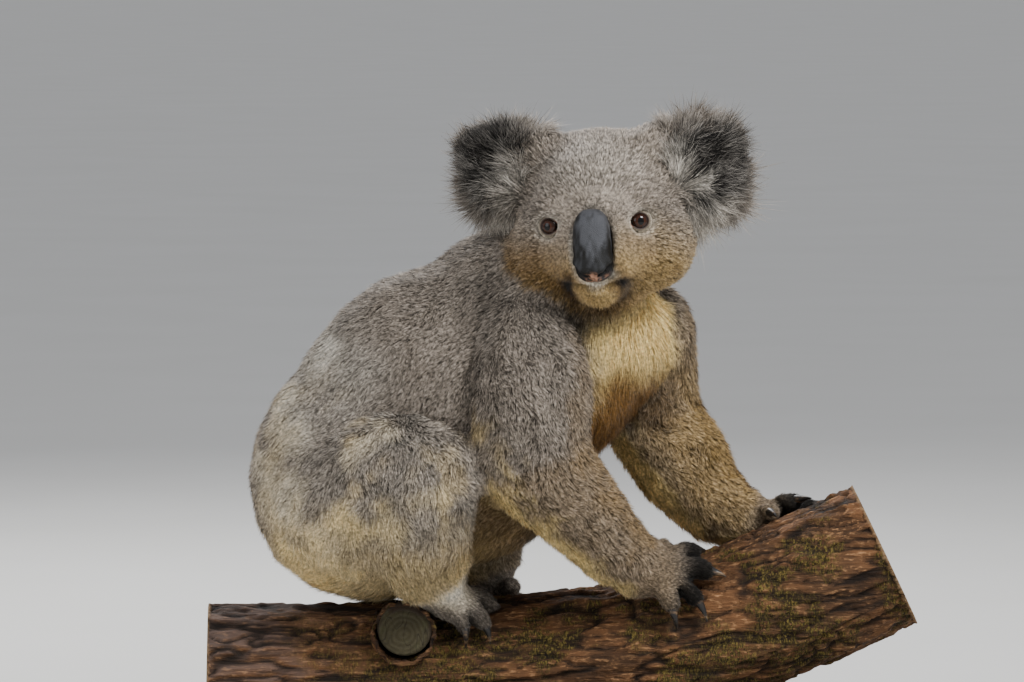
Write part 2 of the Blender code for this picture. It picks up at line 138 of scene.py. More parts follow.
class Finish:
    """A material on one Principled surface."""

    def __init__(self, name, **fixed):
        self.material = bpy.data.materials.new(name)
        self.material.use_nodes = True
        self.tree = self.material.node_tree
        self.surface = self.tree.nodes["Principled BSDF"]
        for socket, value in fixed.items():
            self.surface.inputs[socket.replace("_", " ")].default_value = value

    def node(self, kind, settings=None, sockets=None, output=0):
        """Any node: its settings are set first, then each socket gets a value or a link."""
        made = self.tree.nodes.new(kind)
        for key, value in (settings or {}).items():
            setattr(made, key, value)
        for key, value in (sockets or {}).items():
            if isinstance(value, Value):
                self.tree.links.new(value.socket, made.inputs[key])
            else:
                made.inputs[key].default_value = value
        return Value(self, made.outputs[output])

    def stored(self, name):
        """A number that the mesh holds at each of its points."""
        return self.node("ShaderNodeAttribute", {"attribute_name": name}, output=2)

    def place(self, stretch=(1, 1, 1)):
        """The point on the object, in metres, stretched along each axis."""
        where = self.node("ShaderNodeTexCoord", output=3)
        sockets = {"Vector": where, "Scale": stretch}
        return self.node("ShaderNodeMapping", {"vector_type": "POINT"}, sockets)

    def speckle(self, scale, detail=3.0, roughness=0.55, stretch=(1, 1, 1)):
        """Cloudy noise, about 0 to 1, with lumps 1 / scale metres across."""
        sockets = {"Vector": self.place(stretch), "Scale": scale, "Detail": detail, "Roughness": roughness}
        return self.node("ShaderNodeTexNoise", {"noise_dimensions": "3D"}, sockets)

    def blend(self, share, first, second):
        """A colour part of the way from the first to the second."""
        settings = {"data_type": "RGBA", "clamp_factor": True}
        return self.node("ShaderNodeMix", settings, {0: share, 6: first, 7: second}, 2)

    def layered(self, colour, *layers):
        """A colour under layers of paint, each given as its share and its colour."""
        for share, paint in layers:
            colour = self.blend(share, colour, paint)
        return colour

    def shade(self, colour, factor):
        """A colour made lighter or darker by a number."""
        grey = self.node("ShaderNodeCombineXYZ", {}, {0: factor, 1: factor, 2: factor})
        settings = {"data_type": "RGBA", "blend_type": "MULTIPLY"}
        return self.node("ShaderNodeMix", settings, {0: 1.0, 6: colour, 7: grey}, 2)

    def feed(self, **values):
        """Links values to the surface's sockets of these names."""
        for socket, value in values.items():
            self.tree.links.new(value.socket, self.surface.inputs[socket.replace("_", " ")])

    def bump(self, height, distance, strength=1.0):
        """Relief too fine to model, as if height were raised by distance metres."""
        sockets = {"Height": height, "Distance": distance, "Strength": strength}
        self.feed(Normal=self.node("ShaderNodeBump", {}, sockets))


print("finishes ready")

# %% [markdown]
# ## Meshes as arrays
# The skin has tens of thousands of points and the coat millions, far too many for a loop in Python. So
# shapes are held as arrays: a list of points and a list of triangles. These helpers read a frame part as
# arrays, make points that share a place into one, and find which way the surface faces at each point.


# %% Read shapes as arrays
def arrays_of(mesh):
    """(points, triangles) of a mesh."""
    points = np.empty(len(mesh.vertices) * 3)
    mesh.vertices.foreach_get("co", points)
    mesh.calc_loop_triangles()
    triangles = np.empty(len(mesh.loop_triangles) * 3, np.int32)
    mesh.loop_triangles.foreach_get("vertices", triangles)
    return points.reshape(-1, 3), triangles.reshape(-1, 3)


def welded(node):
    """A frame part's points and triangles, with points at one place made one."""
    points, triangles = arrays_of(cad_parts[node].data)
    places, index = np.unique(np.round(points, 6), axis=0, return_inverse=True)
    triangles = index.reshape(-1)[triangles]
    one, two, three = triangles.T
    return places, triangles[(one != two) & (two != three) & (three != one)]


def joined(shapes):
    """One set of points and triangles from a list of them."""
    starts = np.cumsum([0] + [len(points) for points, _ in shapes[:-1]])
    faces = [triangles + start for (_, triangles), start in zip(shapes, starts)]
    return np.concatenate([points for points, _ in shapes]), np.concatenate(faces)


def unit(vectors):
    """The same directions, one long."""
    return vectors / np.maximum(np.linalg.norm(vectors, axis=-1, keepdims=True), 1e-12)


def normals_of(points, triangles):
    """The outward direction at each point."""
    a, b, c = (points[triangles[:, k]] for k in range(3))
    face = np.cross(b - a, c - a)
    total = [np.bincount(triangles.ravel(), np.repeat(face[:, k], 3), len(points)) for k in range(3)]
    return unit(np.stack(total, 1))


print("array helpers ready")

# %% [markdown]
# ## Smoothing
# Smoothing lets each point's value drift towards its neighbours', round after round. The same few lines
# smooth a shape, a length or a colour. The ramp is the other tool used everywhere: a soft step from 0 to 1.


# %% Smooth values and soft steps
def edges_of(triangles):
    """Each edge of the triangles once, as two points."""
    ends = np.concatenate([triangles[:, [0, 1]], triangles[:, [1, 2]], triangles[:, [2, 0]]])
    return np.unique(np.sort(ends, axis=1), axis=0)


def smoothed(values, edges, rounds, share=0.5):
    """Each point's values drift towards the mean of its neighbours'."""
    flat = values.reshape(len(values), -1).copy()
    share = np.broadcast_to(np.asarray(share, float), len(values))[:, None]
    count = np.maximum(np.bincount(edges.ravel(), minlength=len(flat)), 1)[:, None]
    one, other = edges.T
    for _ in range(rounds):
        total = np.stack([
            np.bincount(one, column[other], len(flat)) + np.bincount(other, column[one], len(flat))
            for column in flat.T
        ], 1)
        flat += (total / count - flat) * share
    return flat.reshape(values.shape)


def ramp(values, low, high):
    """0 below low, 1 above high, and a soft slope between."""
    share = np.clip((values - low) / (high - low), 0, 1)
    return share * share * (3 - 2 * share)


print("smoothing ready")

# %% [markdown]
# ## Objects from arrays
# The other way round, arrays become an object, with any extra numbers stored on its points for the finish
# to read. A voxel remesh wraps one closed surface of small even faces round all the shapes it is given,
# which is a quick way to weld solids that only touch.


# %% Make objects
def as_object(name, points, triangles, finish=None, **stored):
    """An object made from arrays, with any extra numbers stored on its points."""
    mesh = bpy.data.meshes.new(name)
    mesh.vertices.add(len(points))
    mesh.vertices.foreach_set("co", np.asarray(points, np.float32).ravel())
    mesh.loops.add(triangles.size)
    mesh.loops.foreach_set("vertex_index", np.asarray(triangles, np.int32).ravel())
    mesh.polygons.add(len(triangles))
    mesh.polygons.foreach_set("loop_start", np.arange(0, triangles.size, 3, dtype=np.int32))
    mesh.update(calc_edges=True)
    mesh.polygons.foreach_set("use_smooth", np.ones(len(triangles), bool))
    for key, values in stored.items():
        layer = mesh.attributes.new(key, "FLOAT", "POINT")
        layer.data.foreach_set("value", np.asarray(values, np.float32))
    if finish:
        mesh.materials.append(finish.material)
    obj = bpy.data.objects.new(name, mesh)
    bpy.context.scene.collection.objects.link(obj)
    return obj


def taken_back(obj):
    """The arrays of an object with its modifiers at work, after which the object goes."""
    arrays = arrays_of(obj.evaluated_get(bpy.context.evaluated_depsgraph_get()).to_mesh())
    bpy.data.objects.remove(obj, do_unlink=True)
    return arrays


def remeshed(points, triangles, voxel):
    """One closed surface round all the given ones, from small even faces."""
    block = as_object("block", points, triangles)
    again = block.modifiers.new("again", "REMESH")
    again.mode, again.voxel_size = "VOXEL", voxel
    return taken_back(block)


print("object helpers ready")

# %% [markdown]
# ## The head's own directions
# The head is turned towards the viewer, so sizes on the face are easier to give in its own directions: x to
# the koala's left, y to the back of the skull and z up, in millimetres from a point between the ears and
# eyes. The two eyes of the frame say where that point is.

# %% The head's directions
HEAD_TURN = Euler([math.radians(a) for a in (3.0, -3.9, -8.5)]).to_matrix()  # degrees about x, y and z
EYES_FROM_HEAD = Vector((0, -0.047, -0.002))
turn = np.array(HEAD_TURN)
between_eyes = Vector((middle("eye_right") + middle("eye_left")) / 2)
head_place = np.array(between_eyes - HEAD_TURN @ EYES_FROM_HEAD)


def in_head(points):
    """Points in the head's own directions, in millimetres."""
    return (points - head_place) @ turn * 1000


def from_seat(points):
    """Points in the frame's directions, in millimetres from the seat."""
    return (points - (0, 0, SEAT)) * 1000


print("head at", np.round(head_place, 4).tolist())

# %% [markdown]
# ## One skin
# A real animal's hide has no joints at the elbows or neck. The frame's parts meet with a hair's breadth
# between them, so each is grown by half a millimetre until they touch, and a voxel remesh wraps all of them
# in one surface of small even faces. The ears shrink first: the frame's ears reach to the ends of their
# long hairs, and the hide inside them is smaller. Two balls behind each claw fill out the digit, so that it
# ends in a round toe.

# %% Wrap the body in one skin
LIMBS = ("upper_arm", "forearm", "hand", "thigh", "shank", "foot")
FLESH = ["head", "neck", "trunk", "ear_right", "ear_left"] + [f"{p}_{s}" for s in SIDES for p in LIMBS]
SKIN_FACE = 0.0021  # how wide the skin's faces are at first
GROWTH = 0.0006
EAR_HIDE = 0.80  # the hide of an ear, as a share of the ear out to its hair tips
PAD_RADIUS = {"hand": 0.0078, "foot": 0.0068}
PADS_BEHIND_CLAW = (0.0048, 0.0140)
ear_roots = {}


def claw_nodes(start="claw_"):
    """The frame's claws whose names start like this, in order."""
    return sorted(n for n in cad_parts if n.startswith(start))


def grown(node, points, triangles):
    """A part a little larger than it is; an ear shrinks towards its root first."""
    if node.startswith("ear"):
        root = points[np.linalg.norm(points - head_place, axis=1).argmin()]
        ear_roots[node] = root
        points = root + (points - root) * EAR_HIDE
    return points + normals_of(points, triangles) * GROWTH, triangles


def small_ball(centre, radius):
    """The points and triangles of a small ball."""
    bpy.ops.mesh.primitive_ico_sphere_add(subdivisions=2, radius=radius)
    points, triangles = arrays_of(bpy.context.object.data)
    bpy.data.objects.remove(bpy.context.object, do_unlink=True)
    return points + centre, triangles


def toe_pads(node):
    """Two balls behind a claw."""
    limb, side = node.split("_")[1:3]
    points, palm = welded(node)[0], middle(f"{limb}_{side}")
    far = np.linalg.norm(points - palm, axis=1)
    root, tip = points[far < np.quantile(far, 0.3)].mean(0), points[far.argmax()]
    back = unit(root - tip) * 0.4 + unit(palm - root) * 0.6
    return [small_ball(root + back * behind, PAD_RADIUS[limb]) for behind in PADS_BEHIND_CLAW]


flesh = [welded(node) for node in FLESH]
solids = [grown(node, *shape) for node, shape in zip(FLESH, flesh)]
solids += [pad for node in claw_nodes() for pad in toe_pads(node)]
skin_points, skin_faces = remeshed(*joined(solids), SKIN_FACE)
skin_edges = edges_of(skin_faces)
print("skin", len(skin_points), "points,", len(skin_faces), "triangles")

# %% [markdown]
# ## Which part is this?
# Fur is longer on the back than on a toe, so each point of the skin has to know which part of the body it
# lies on. The nearest face of the frame says so. A table then gives sizes for each part, and smoothing over
# the skin turns its steps into slow changes.

# %% Name each point's part
nearest_face = BVHTree.FromPolygons(*(array.tolist() for array in joined(flesh)))
owners = np.repeat(np.arange(len(FLESH)), [len(triangles) for _, triangles in flesh])
NAMES, NAME_SIDES = np.array([n.rsplit("_", 1) if n.endswith(SIDES) else (n, "") for n in FLESH]).T


def parts_of(points):
    """The part and side of the body that each point lies on."""
    nearest = owners[[nearest_face.find_nearest(p)[2] for p in points.tolist()]]
    return NAMES[nearest], NAME_SIDES[nearest]


def spread(chosen, rounds):
    """Some points of the skin, as a share that fades out softly round them."""
    return smoothed(np.asarray(chosen, float), skin_edges, rounds)


def by_part(table, rounds=14):
    """A number for each part, spread over the skin with soft changes between parts."""
    return spread([table[name] for name in part_name], rounds)


part_name, part_side = parts_of(skin_points)
print({name: int((part_name == name).sum()) for name in np.unique(part_name)})

# %% [markdown]
# ## Where parts meet
# A model of only smooth bulges looks like a toy. On the animal the thigh lies against the belly and the
# upper arm against the chest, and a soft crease runs between them. Two parts meet where both have a share,
# so the product of the two shares marks the crease.


# %% Find the creases
def near(points, place, radius, softness=0.5):
    """1 close to a place, falling to 0 at the radius."""
    distance = np.linalg.norm((points - np.asarray(place)) / np.asarray(radius), axis=-1)
    return 1 - ramp(distance, softness, 1.0)


def meeting(first, second):
    """1 where two groups of parts meet, fading out about a centimetre away."""
    one, other = (spread(np.isin(part_name, names), 14) for names in (first, second))
    return np.clip(4 * one * other, 0, 1) ** 2


def creases():
    """1 in the folds over the knee and behind the arm, where the far shoulder's is the lower one."""
    x, y, z = from_seat(skin_points).T
    over_knee = meeting(("thigh", "shank"), ("trunk",)) * ramp(x, -152, -124)
    behind_arm = meeting(("upper_arm",), ("trunk", "neck")) * (1 - ramp(z + 45 * (y > 0), 205, 240))
    return over_knee, behind_arm


print("crease points", [int((crease > 0.5).sum()) for crease in creases()])

# %% [markdown]
# ## Smooth the hide
# Smoothing takes away the frame's flat facets, strongly on the back and only lightly on the face, hands and
# feet, where the small shapes matter. Smoothing also shrinks a shape, so what was lost is pushed out again.
# The back then needs fewer faces than a paw does. A Decimate modifier thins the mesh, and weights on the
# points tell it where the skin is plain.

# %% Smooth and thin the skin
SMOOTHING = {"head": 1.0, "neck": 1.0, "trunk": 1.0, "ear": 0.5, "upper_arm": 1.0, "forearm": 0.9,
             "hand": 0.10, "thigh": 1.0, "shank": 0.9, "foot": 0.10}
SKIN_KEPT = 0.62  # the share of the faces that is kept, most of them on the face and paws


def front_of_face():
    """1 on the front of the face, fading out towards the ears."""
    place, radius = (0, -56, -18), (52, 40, 52)
    return near(in_head(skin_points), place, radius, 0.55) * (part_name == "head")


def plainness():
    """How plain each part is: 1 on the back, little on the face and paws."""
    return by_part(SMOOTHING) * (1 - 0.78 * front_of_face())


plain = plainness() * (1 - 0.85 * np.maximum(*creases()))
before, outs = skin_points, normals_of(skin_points, skin_faces)
skin_points = smoothed(skin_points, skin_edges, 44, 0.6 * plain)
lost = smoothed(((before - skin_points) * outs).sum(1), skin_edges, 26)
skin_points = skin_points + outs * lost[:, None]

block = as_object("block", skin_points, skin_faces)
plain_group = block.vertex_groups.new(name="plain")
for index, weight in enumerate(np.round(0.25 + 0.75 * plain, 2).tolist()):
    plain_group.add([index], weight, "REPLACE")
thin = block.modifiers.new("thin", "DECIMATE")
thin.ratio, thin.vertex_group = SKIN_KEPT, "plain"
skin_points, skin_faces = taken_back(block)
skin_edges = edges_of(skin_faces)
part_name, part_side = parts_of(skin_points)
is_head = (part_name == "head").astype(float)
print("skin thinned to", len(skin_faces), "triangles")

# %% [markdown]
# ## Set the hide under the coat
# The frame shows the body out to the tips of its fur, so the hide lies inside it by the coat's depth: about
# five millimetres on the back and one or two on the face and paws. The skin is pushed in along its own
# normals by a depth for each part. Some places need more or less. Round each eye it is raised, so that the
# eyeball sits in a socket. The creases are pressed in, deeper on the trunk's side, so that the limb stands
# clear of it. The loin is filled out, and the heel is drawn in, so that its fur does not hang over the
# stump.

# %% Push the skin in
COAT_DEPTH = {"head": 2.6, "neck": 5.0, "trunk": 5.0, "ear": 1.2, "upper_arm": 4.2, "forearm": 3.8,
              "hand": 0.7, "thigh": 4.8, "shank": 3.8, "foot": 0.7}
NOSE_HALF = (15.5, 18.0, 29.0)  # half the size of the nose leather, in millimetres
LOIN, LOIN_SIZE = (-0.176, -0.01, SEAT + 0.182), (0.045, 0.095, 0.045)
HEEL, HEEL_SIZE = (-0.086, -0.075, SEAT - 0.010), (0.034, 0.050, 0.030)
face, plain = front_of_face(), plainness()
nose_at = in_head(middle("nose"))
head_view = in_head(skin_points)
to_eyes = [np.linalg.norm(head_view - in_head(middle(f"eye_{side}")), axis=1) for side in SIDES]
to_eye = np.minimum(*to_eyes)
to_nose = np.linalg.norm((head_view - nose_at) / NOSE_HALF, axis=1)

depth = by_part(COAT_DEPTH) * (1 - 0.62 * spread(face, 6))
depth *= 1 - 0.7 * (1 - ramp(to_nose, 1.0, 1.6)) * is_head
socket = ramp(to_eye, 8.0, 11.5) * (1 - ramp(to_eye, 13.0, 25.0)) * is_head
on_trunk = spread(np.isin(part_name, ("trunk", "neck")), 2)
loin = near(skin_points, LOIN, LOIN_SIZE, 0.1) * on_trunk
heel = near(skin_points, HEEL, HEEL_SIZE, 0.2) * np.isin(part_name, ("shank", "foot"))
knee, armpit = creases()
crease_depth = knee * (-2.5 + 11 * on_trunk) + armpit * (1 + 7 * on_trunk)
push = spread(depth - 3.4 * socket - 4.5 * loin + 6.0 * heel, 3) + spread(crease_depth, 1)
skin_points = skin_points - normals_of(skin_points, skin_faces) * (push / 1000)[:, None]
skin_points = smoothed(skin_points, skin_edges, 2, 0.4 * plain)
print("coat depth from", round(depth.min(), 2), "to", round(depth.max(), 2), "mm")

# %% [markdown]
# ## Folds of the face
# Under the short fur of a koala's face the mouth shows as a groove below the nose, which runs back and down
# on each side under full cheeks, with a small chin between. The grooves are pressed into the skin as soft
# valleys along a few short lines. Both sides are alike, so the lines are given once and the face is folded
# onto one half to measure them.


# %% Press in the mouth and raise the chin
def valley(points, stops, width):
    """1 along a line through the stops, falling to 0 at the width."""
    nearest = np.full(len(points), np.inf)
    for start, end in zip(stops[:-1], stops[1:]):
        start, end = np.array(start, float), np.array(end, float)
        run = end - start
        share = np.clip((points - start) @ run / (run @ run), 0, 1)
        nearest = np.minimum(nearest, np.linalg.norm(points - start - share[:, None] * run, axis=1))
    return np.exp(-((nearest / width) ** 2))


def one_half(points):
    """The same points with both halves of the face on one side."""
    return np.abs(points) * (1, 0, 0) + points * (0, 1, 1)


MOUTH = ((0, -69, -48), (9, -66, -47), (18, -58, -43), (25, -48, -46), (28, -38, -55))
LIP = [(x, y - 2, z + 7) for x, y, z in MOUTH[1:]]
CHIN = (0, -60, -56)
head_view = in_head(skin_points)
mouth = valley(one_half(head_view), MOUTH, 3.6) * is_head
lip = valley(one_half(head_view), LIP, 6.5) * is_head
chin = near(head_view, CHIN, (14, 18, 11), 0.3) * is_head
skin_normals = normals_of(skin_points, skin_faces)
skin_points = skin_points + skin_normals * ((-2.2 * mouth + 1.2 * lip + 1.6 * chin) / 1000)[:, None]
skin_normals = normals_of(skin_points, skin_faces)
print("mouth groove over", int((mouth > 0.5).sum()), "points")

# %% [markdown]
# ## Random lumps
# Nothing on an animal is quite even. This helper gives smooth random values in space, the same on every
# run: each cell of a grid gets a number mixed from its place, and values between the cells' corners are
# blended.


# %% Lumps in space
def lumps(points, size, seed=0):
    """Smooth random values from 0 to 1 in space, with lumps about size metres across."""
    scaled = points / size + 31.7 * seed
    cell = np.floor(scaled).astype(np.int64)
    part = scaled - cell
    part = part * part * (3 - 2 * part)
    total = np.zeros(len(points))
    for corner in range(8):
        step = np.array([corner & 1, corner >> 1 & 1, corner >> 2])
        x, y, z = (cell + step).T
        mixed = (x * 73856093) ^ (y * 19349663) ^ (z * 83492791) ^ (seed * 9973 + 5)
        mixed = ((mixed ^ (mixed >> 13)) * 1274126177) & 0x7FFFFFFF
        value = ((mixed ^ (mixed >> 16)) & 0xFFFF) / 0xFFFF
        total += np.where(step, part, 1 - part).prod(1) * value
    return total


print("lumps from", *np.round(np.quantile(lumps(skin_points, 0.03), (0.05, 0.95)), 2))

# %% [markdown]
# ## Gaps and folds
# Fur on a bent limb parts in thin, dark folds, and on the thigh three of them run down from the hip. The
# coat alone would cover them, so they are pressed into its ground by two millimetres. The gaps between the
# toes need three, or a paw looks like a mitten: each gap runs ahead from the palm, midway between two
# claws.


# %% Press folds into the coat's ground
def toe_gaps():
    """1 along the gaps between the digits of all four paws."""
    gaps = np.zeros(len(skin_points))
    for limb, side in [(limb, side) for side in SIDES for limb in PAD_RADIUS]:
        palm = middle(f"{limb}_{side}")
        claws = [middle(node) for node in claw_nodes(f"claw_{limb}_{side}")]
        for one, other in zip(claws[:-1], claws[1:]):
            between = (one + other) / 2
            reach = np.linalg.norm(between - palm)
            way = (between - palm) / reach
            across = unit((other - one) - ((other - one) @ way) * way)
            beside = (skin_points - palm) @ across * 1000
            share = (skin_points - palm) @ way / reach
            here = near(skin_points, between, 0.030, 0.6) * ramp(share, 0.25, 0.55)
            here = here * (part_side == side) * (part_name == limb)
            gaps = np.maximum(gaps, np.exp(-((beside / 2.2) ** 2)) * here)
    return gaps


THIGH_FOLDS = (((-74, 0, 143), (-86, 0, 124), (-98, 0, 101), (-103, 0, 82)),
               ((-84, 0, 146), (-95, 0, 134)), ((-64, 0, 136), (-72, 0, 118)))
seen_flat = from_seat(skin_points) * (1, 0, 1)
folds = sum(valley(seen_flat, stops, 2.6) for stops in THIGH_FOLDS) * (part_name == "thigh")
ridged = 1 - np.abs(2 * lumps(skin_points * (1, 1, 1.7), 0.013, 40) - 1)
rippled = np.isin(part_name, ("upper_arm", "forearm", "thigh"))
folds = spread(np.clip(folds + 0.8 * ramp(ridged, 0.86, 1.0) * rippled, 0, 1), 2)
gaps = toe_gaps()
skin_points = skin_points - skin_normals * (folds * 0.0018 + gaps * 0.0032)[:, None]
skin_normals = normals_of(skin_points, skin_faces)
print("folds over", int((folds > 0.4).sum()), "points, gaps over", int((gaps > 0.4).sum()))

# %% [markdown]
# ## The koala's markings
# Its coat is grey with a brownish cast, and paler where it shows from below: a cream chest with an orange
# stain, cream edges along the arms, a dusty, mottled rump, white patches inside the ears and on the
# insteps, and a warm tan face with dark corners at the mouth. Each marking is a number from 0 to 1 at each
# point of the skin. The skin and every tuft of the coat read the same numbers, so they always agree. The
# body comes first: most of its markings follow from which part a point is on, which way it faces and how
# high it is, and random clouds break up their edges.

# %% Markings of the body
head_view = in_head(skin_points)
body_view = from_seat(skin_points)
x, y, z = body_view.T
ahead, outward, upward = skin_normals.T
cloud, fine_cloud = lumps(skin_points, 0.030, 1), lumps(skin_points, 0.011, 2)
is_part = {name: spread(part_name == name, 10) for name in np.unique(part_name)}
arm = is_part["upper_arm"] + is_part["forearm"]
leg = is_part["thigh"] + is_part["shank"]
torso = is_part["trunk"] + is_part["neck"]

chest = ramp(ahead, 0.05, 0.55) * ramp(z, 95, 135) * torso * ramp(x, 15, 45)
chest *= 1 - ramp(np.abs(y + 18) + (fine_cloud - 0.5) * 22, 42, 66 - 16 * (y > 0))
chest *= (1 - ramp(outward, 0.45, 0.85)) * (1 - ramp(z, 212, 240) * ramp(y, 5, 30))
lower_chest = chest * (1 - ramp(z + (cloud - 0.5) * 30 - (x - 60) * 0.25, 164, 198))
# Painted shade: the throat below the chin is darkened, dark brown fur deepened for the shade under the
# head.
below_chin = near(body_view, (60, -75, 236), (45, 36, 26), 0.3) * torso
under = torso * ramp(-upward, 0.1, 0.7) * ramp(x, -90, -40)
facing_back = -ahead * 0.8 - upward * 0.75 + (fine_cloud - 0.5) * 0.6
arm_rear = arm * (1 - ramp(z, 125, 180)) * ramp(facing_back, 0.42, 0.9)
arm_front = arm * ramp(ahead + (fine_cloud - 0.5) * 0.4, 0.45, 0.85)
inner_arm = arm * near(body_view, (102, 20, 160), (30, 90, 40), 0.2) * ramp(-outward, -0.2, 0.5)
far_arm = arm * spread(part_side == "left", 10) * (1 - 0.7 * ramp(z, 160, 215))
# Painted shade: the shoulder and the nape are darkened for the shade that falls under the head.
shoulder = near(body_view, (24, -78, 222), (58, 60, 46), 0.1) * (torso + arm)
nape_shade = near(body_view, (-22, -55, 246), (80, 90, 52), 0.1) * (torso + arm)
# Painted shade: the flank low down, beside the thigh, is darkened for the shade there.
low_flank_shade = torso * near(body_view, (-72, -80, 150), (66, 70, 58), 0.2)
low_back = torso * near(body_view, (-150, -40, 178), (80, 120, 66), 0.2) * (0.5 + 0.8 * cloud)
rump = torso * ramp(-x + (70 - z) * 0.6, 40, 130)
dusty = rump * ramp(0.6 * cloud + 0.6 * fine_cloud, 0.55, 0.95)
low_rump = (torso + leg) * (1 - ramp(z + (fine_cloud - 0.5) * 50, 20, 84)) * ramp(-x, -20, 60)
on_thigh = spread(np.isin(part_name, ("thigh", "shank")), 2)
print("chest", int((chest > 0.5).sum()), "dusty rump", int((dusty > 0.5).sum()), "points")

# %% [markdown]
# ## Patches on the flank
# The near side of the rump and thigh is dappled with pale patches, some white and some cream. A short table
# gives each one's place, and clouds fray its edge. The far side gets the same patches, moved a little and
# weaker, because no two sides of an animal match.

# %% Pale patches
# The first two patches, high on the back, are partly white hair and partly a painted glint on the fur.
#          place along x, height, radius, how white, how cream
PATCHES = ((-144, 203, 9, 0.55, 0), (-152, 192, 7, 0.45, 0), (-183, 162, 14, 0.4, 0.3),
           (-172, 135, 22, 0.3, 0.1), (-127, 124, 8, 0.3, 0.4), (-114, 134, 8, 0.3, 0.35),
           (-101, 142, 8, 0.25, 0.3), (-136, 76, 17, 0.1, 0.6), (-101, 74, 14, 0.1, 0.6),
           (-156, 38, 30, 0.1, 0.6), (-70, 98, 11, 0.1, 0.35), (-196, 110, 16, 0.3, 0.2),
           (-180, 92, 24, 0.25, 0.3), (-150, 60, 20, 0.15, 0.35))
FAR_SHIFT, FAR_SHARE = 14, 0.6
patch_white, patch_cream = np.zeros((2, len(skin_points)))
for place, height, radius, white, cream in PATCHES:
    for shift, on_side in ((0, ramp(-y, 0, 25)), (FAR_SHIFT, FAR_SHARE * ramp(y, 0, 25))):
        far = np.hypot(x - place - shift, z - height) / (radius * (0.55 + 0.9 * fine_cloud))
        there = (1 - ramp(far, 0.5, 1.25)) * on_side * (torso + leg)
        patch_white = np.maximum(patch_white, white * there)
        patch_cream = np.maximum(patch_cream, cream * there)
print("patches over", int((np.maximum(patch_white, patch_cream) > 0.2).sum()), "points")

# %% [markdown]
# ## Hands and feet
# The digits are almost black, and the feet have a white instep. A digit starts a certain way ahead of the
# middle of the paw, measured towards the middle of its claws.


# %% Markings of the paws
def claws_ahead(limb, side):
    """From the middle of a hand or foot towards the middle of its claws."""
    claws = [middle(node) for node in claw_nodes(f"claw_{limb}_{side}")]
    return unit(np.mean(claws, axis=0) - middle(f"{limb}_{side}"))


#          where the digits start and are fully dark, in millimetres, and how dark they are
DIGITS = {"hand": (-10, 12, 0.9), "foot": (4, 24, 0.6)}
digits = np.zeros(len(skin_points))
for side in SIDES:
    for limb, (start, full, share) in DIGITS.items():
        run = (skin_points - middle(f"{limb}_{side}")) @ claws_ahead(limb, side) * 1000
        digits += share * is_part[limb] * (part_side == side) * ramp(run, start, full)
near_instep = near(body_view, (-50, -72, 14), (30, 36, 20), 0.2)
far_instep = near(body_view, (-8, 68, 4), (24, 22, 17), 0.2)
instep = np.maximum(near_instep, far_instep) * (0.6 + 0.6 * fine_cloud)
print("digits over", int((digits > 0.4).sum()), "points")

# %% [markdown]
# ## The face
# The brow is frosted grey and the cheeks are tan. The forehead is also paler as painted light from above,
# and the near cheek darker as painted shade. A pale ring runs round each eye and a pale rim round the nose,
# with painted shade on its upper and outer edge, where the fur overhangs it. Dark stains run back from the
# corners of the mouth, a little different on each side. Under the jaw the fur is dark brown, deepened by
# painted shade.

# %% Markings of the face
CORNERS = ((((13, -19, -35), (17, -18, -41), (19, -16, -50), (17, -14, -60)), 4.8),
           (((-19, -18, -37), (-24, -16, -45), (-20, -15, -58)), 4.2))
from_nose = head_view - nose_at
eye_ring = is_head * (1 - ramp(to_eye, 10.5, 14.5))
nose_rim = is_head * (1 - ramp(to_nose, 1.03, 1.20))
# Painted shade: the rim's fur is darkened on the upper and outer edge of the nose, for the fur's shadow
# there.
nose_shade = nose_rim * np.maximum(ramp(from_nose[:, 2], 8, 22), ramp(from_nose[:, 0], 6, 12))
corner = np.maximum(*(valley(head_view * (1, 0.3, 1), stops, width) for stops, width in CORNERS))
corner *= is_head * (1 - ramp(head_view[:, 1], -30, -10)) * (0.45 + 0.8 * lumps(skin_points, 0.0045, 15))
# The fur under the jaw is dark brown, deepened by painted shade.
under_chin = near(head_view, (3, -42, -74), (44, 36, 22), 0.3) * is_head
under_chin *= 1 - 0.9 * near(head_view, CHIN, (15, 20, 12), 0.5)
lip_patch = near(head_view, (14, -66, -38), (6, 12, 5), 0.2) * is_head
low_cheek = is_head * ramp(-head_view[:, 2] + (cloud - 0.5) * 22, -4, 40)
low_cheek *= 1 - ramp(head_view[:, 1], 0, 45)
# Painted shade: the lower cheek on the near side is darkened and browned for the shade it lies in.
near_cheek_shade = low_cheek * ramp(-head_view[:, 0], 12, 40)
# Painted light: the forehead is paler, partly frosted tips and partly painted light from above.
frosted_lit_forehead = is_head * near(head_view, (0, -30, 34), (52, 46, 34), 0.3)
print("cheeks", int((low_cheek > 0.5).sum()), "mouth corners", int((corner > 0.5).sum()), "points")

# %% [markdown]
# ## The ears
# The front of an ear is charcoal, with white streaks that fan out from its root and a pale lobe. Its back
# is frosted grey. The bearing of a point about the ear's root gives the streaks: a wave of the bearing,
# bent by lumps so that no two streaks are alike.

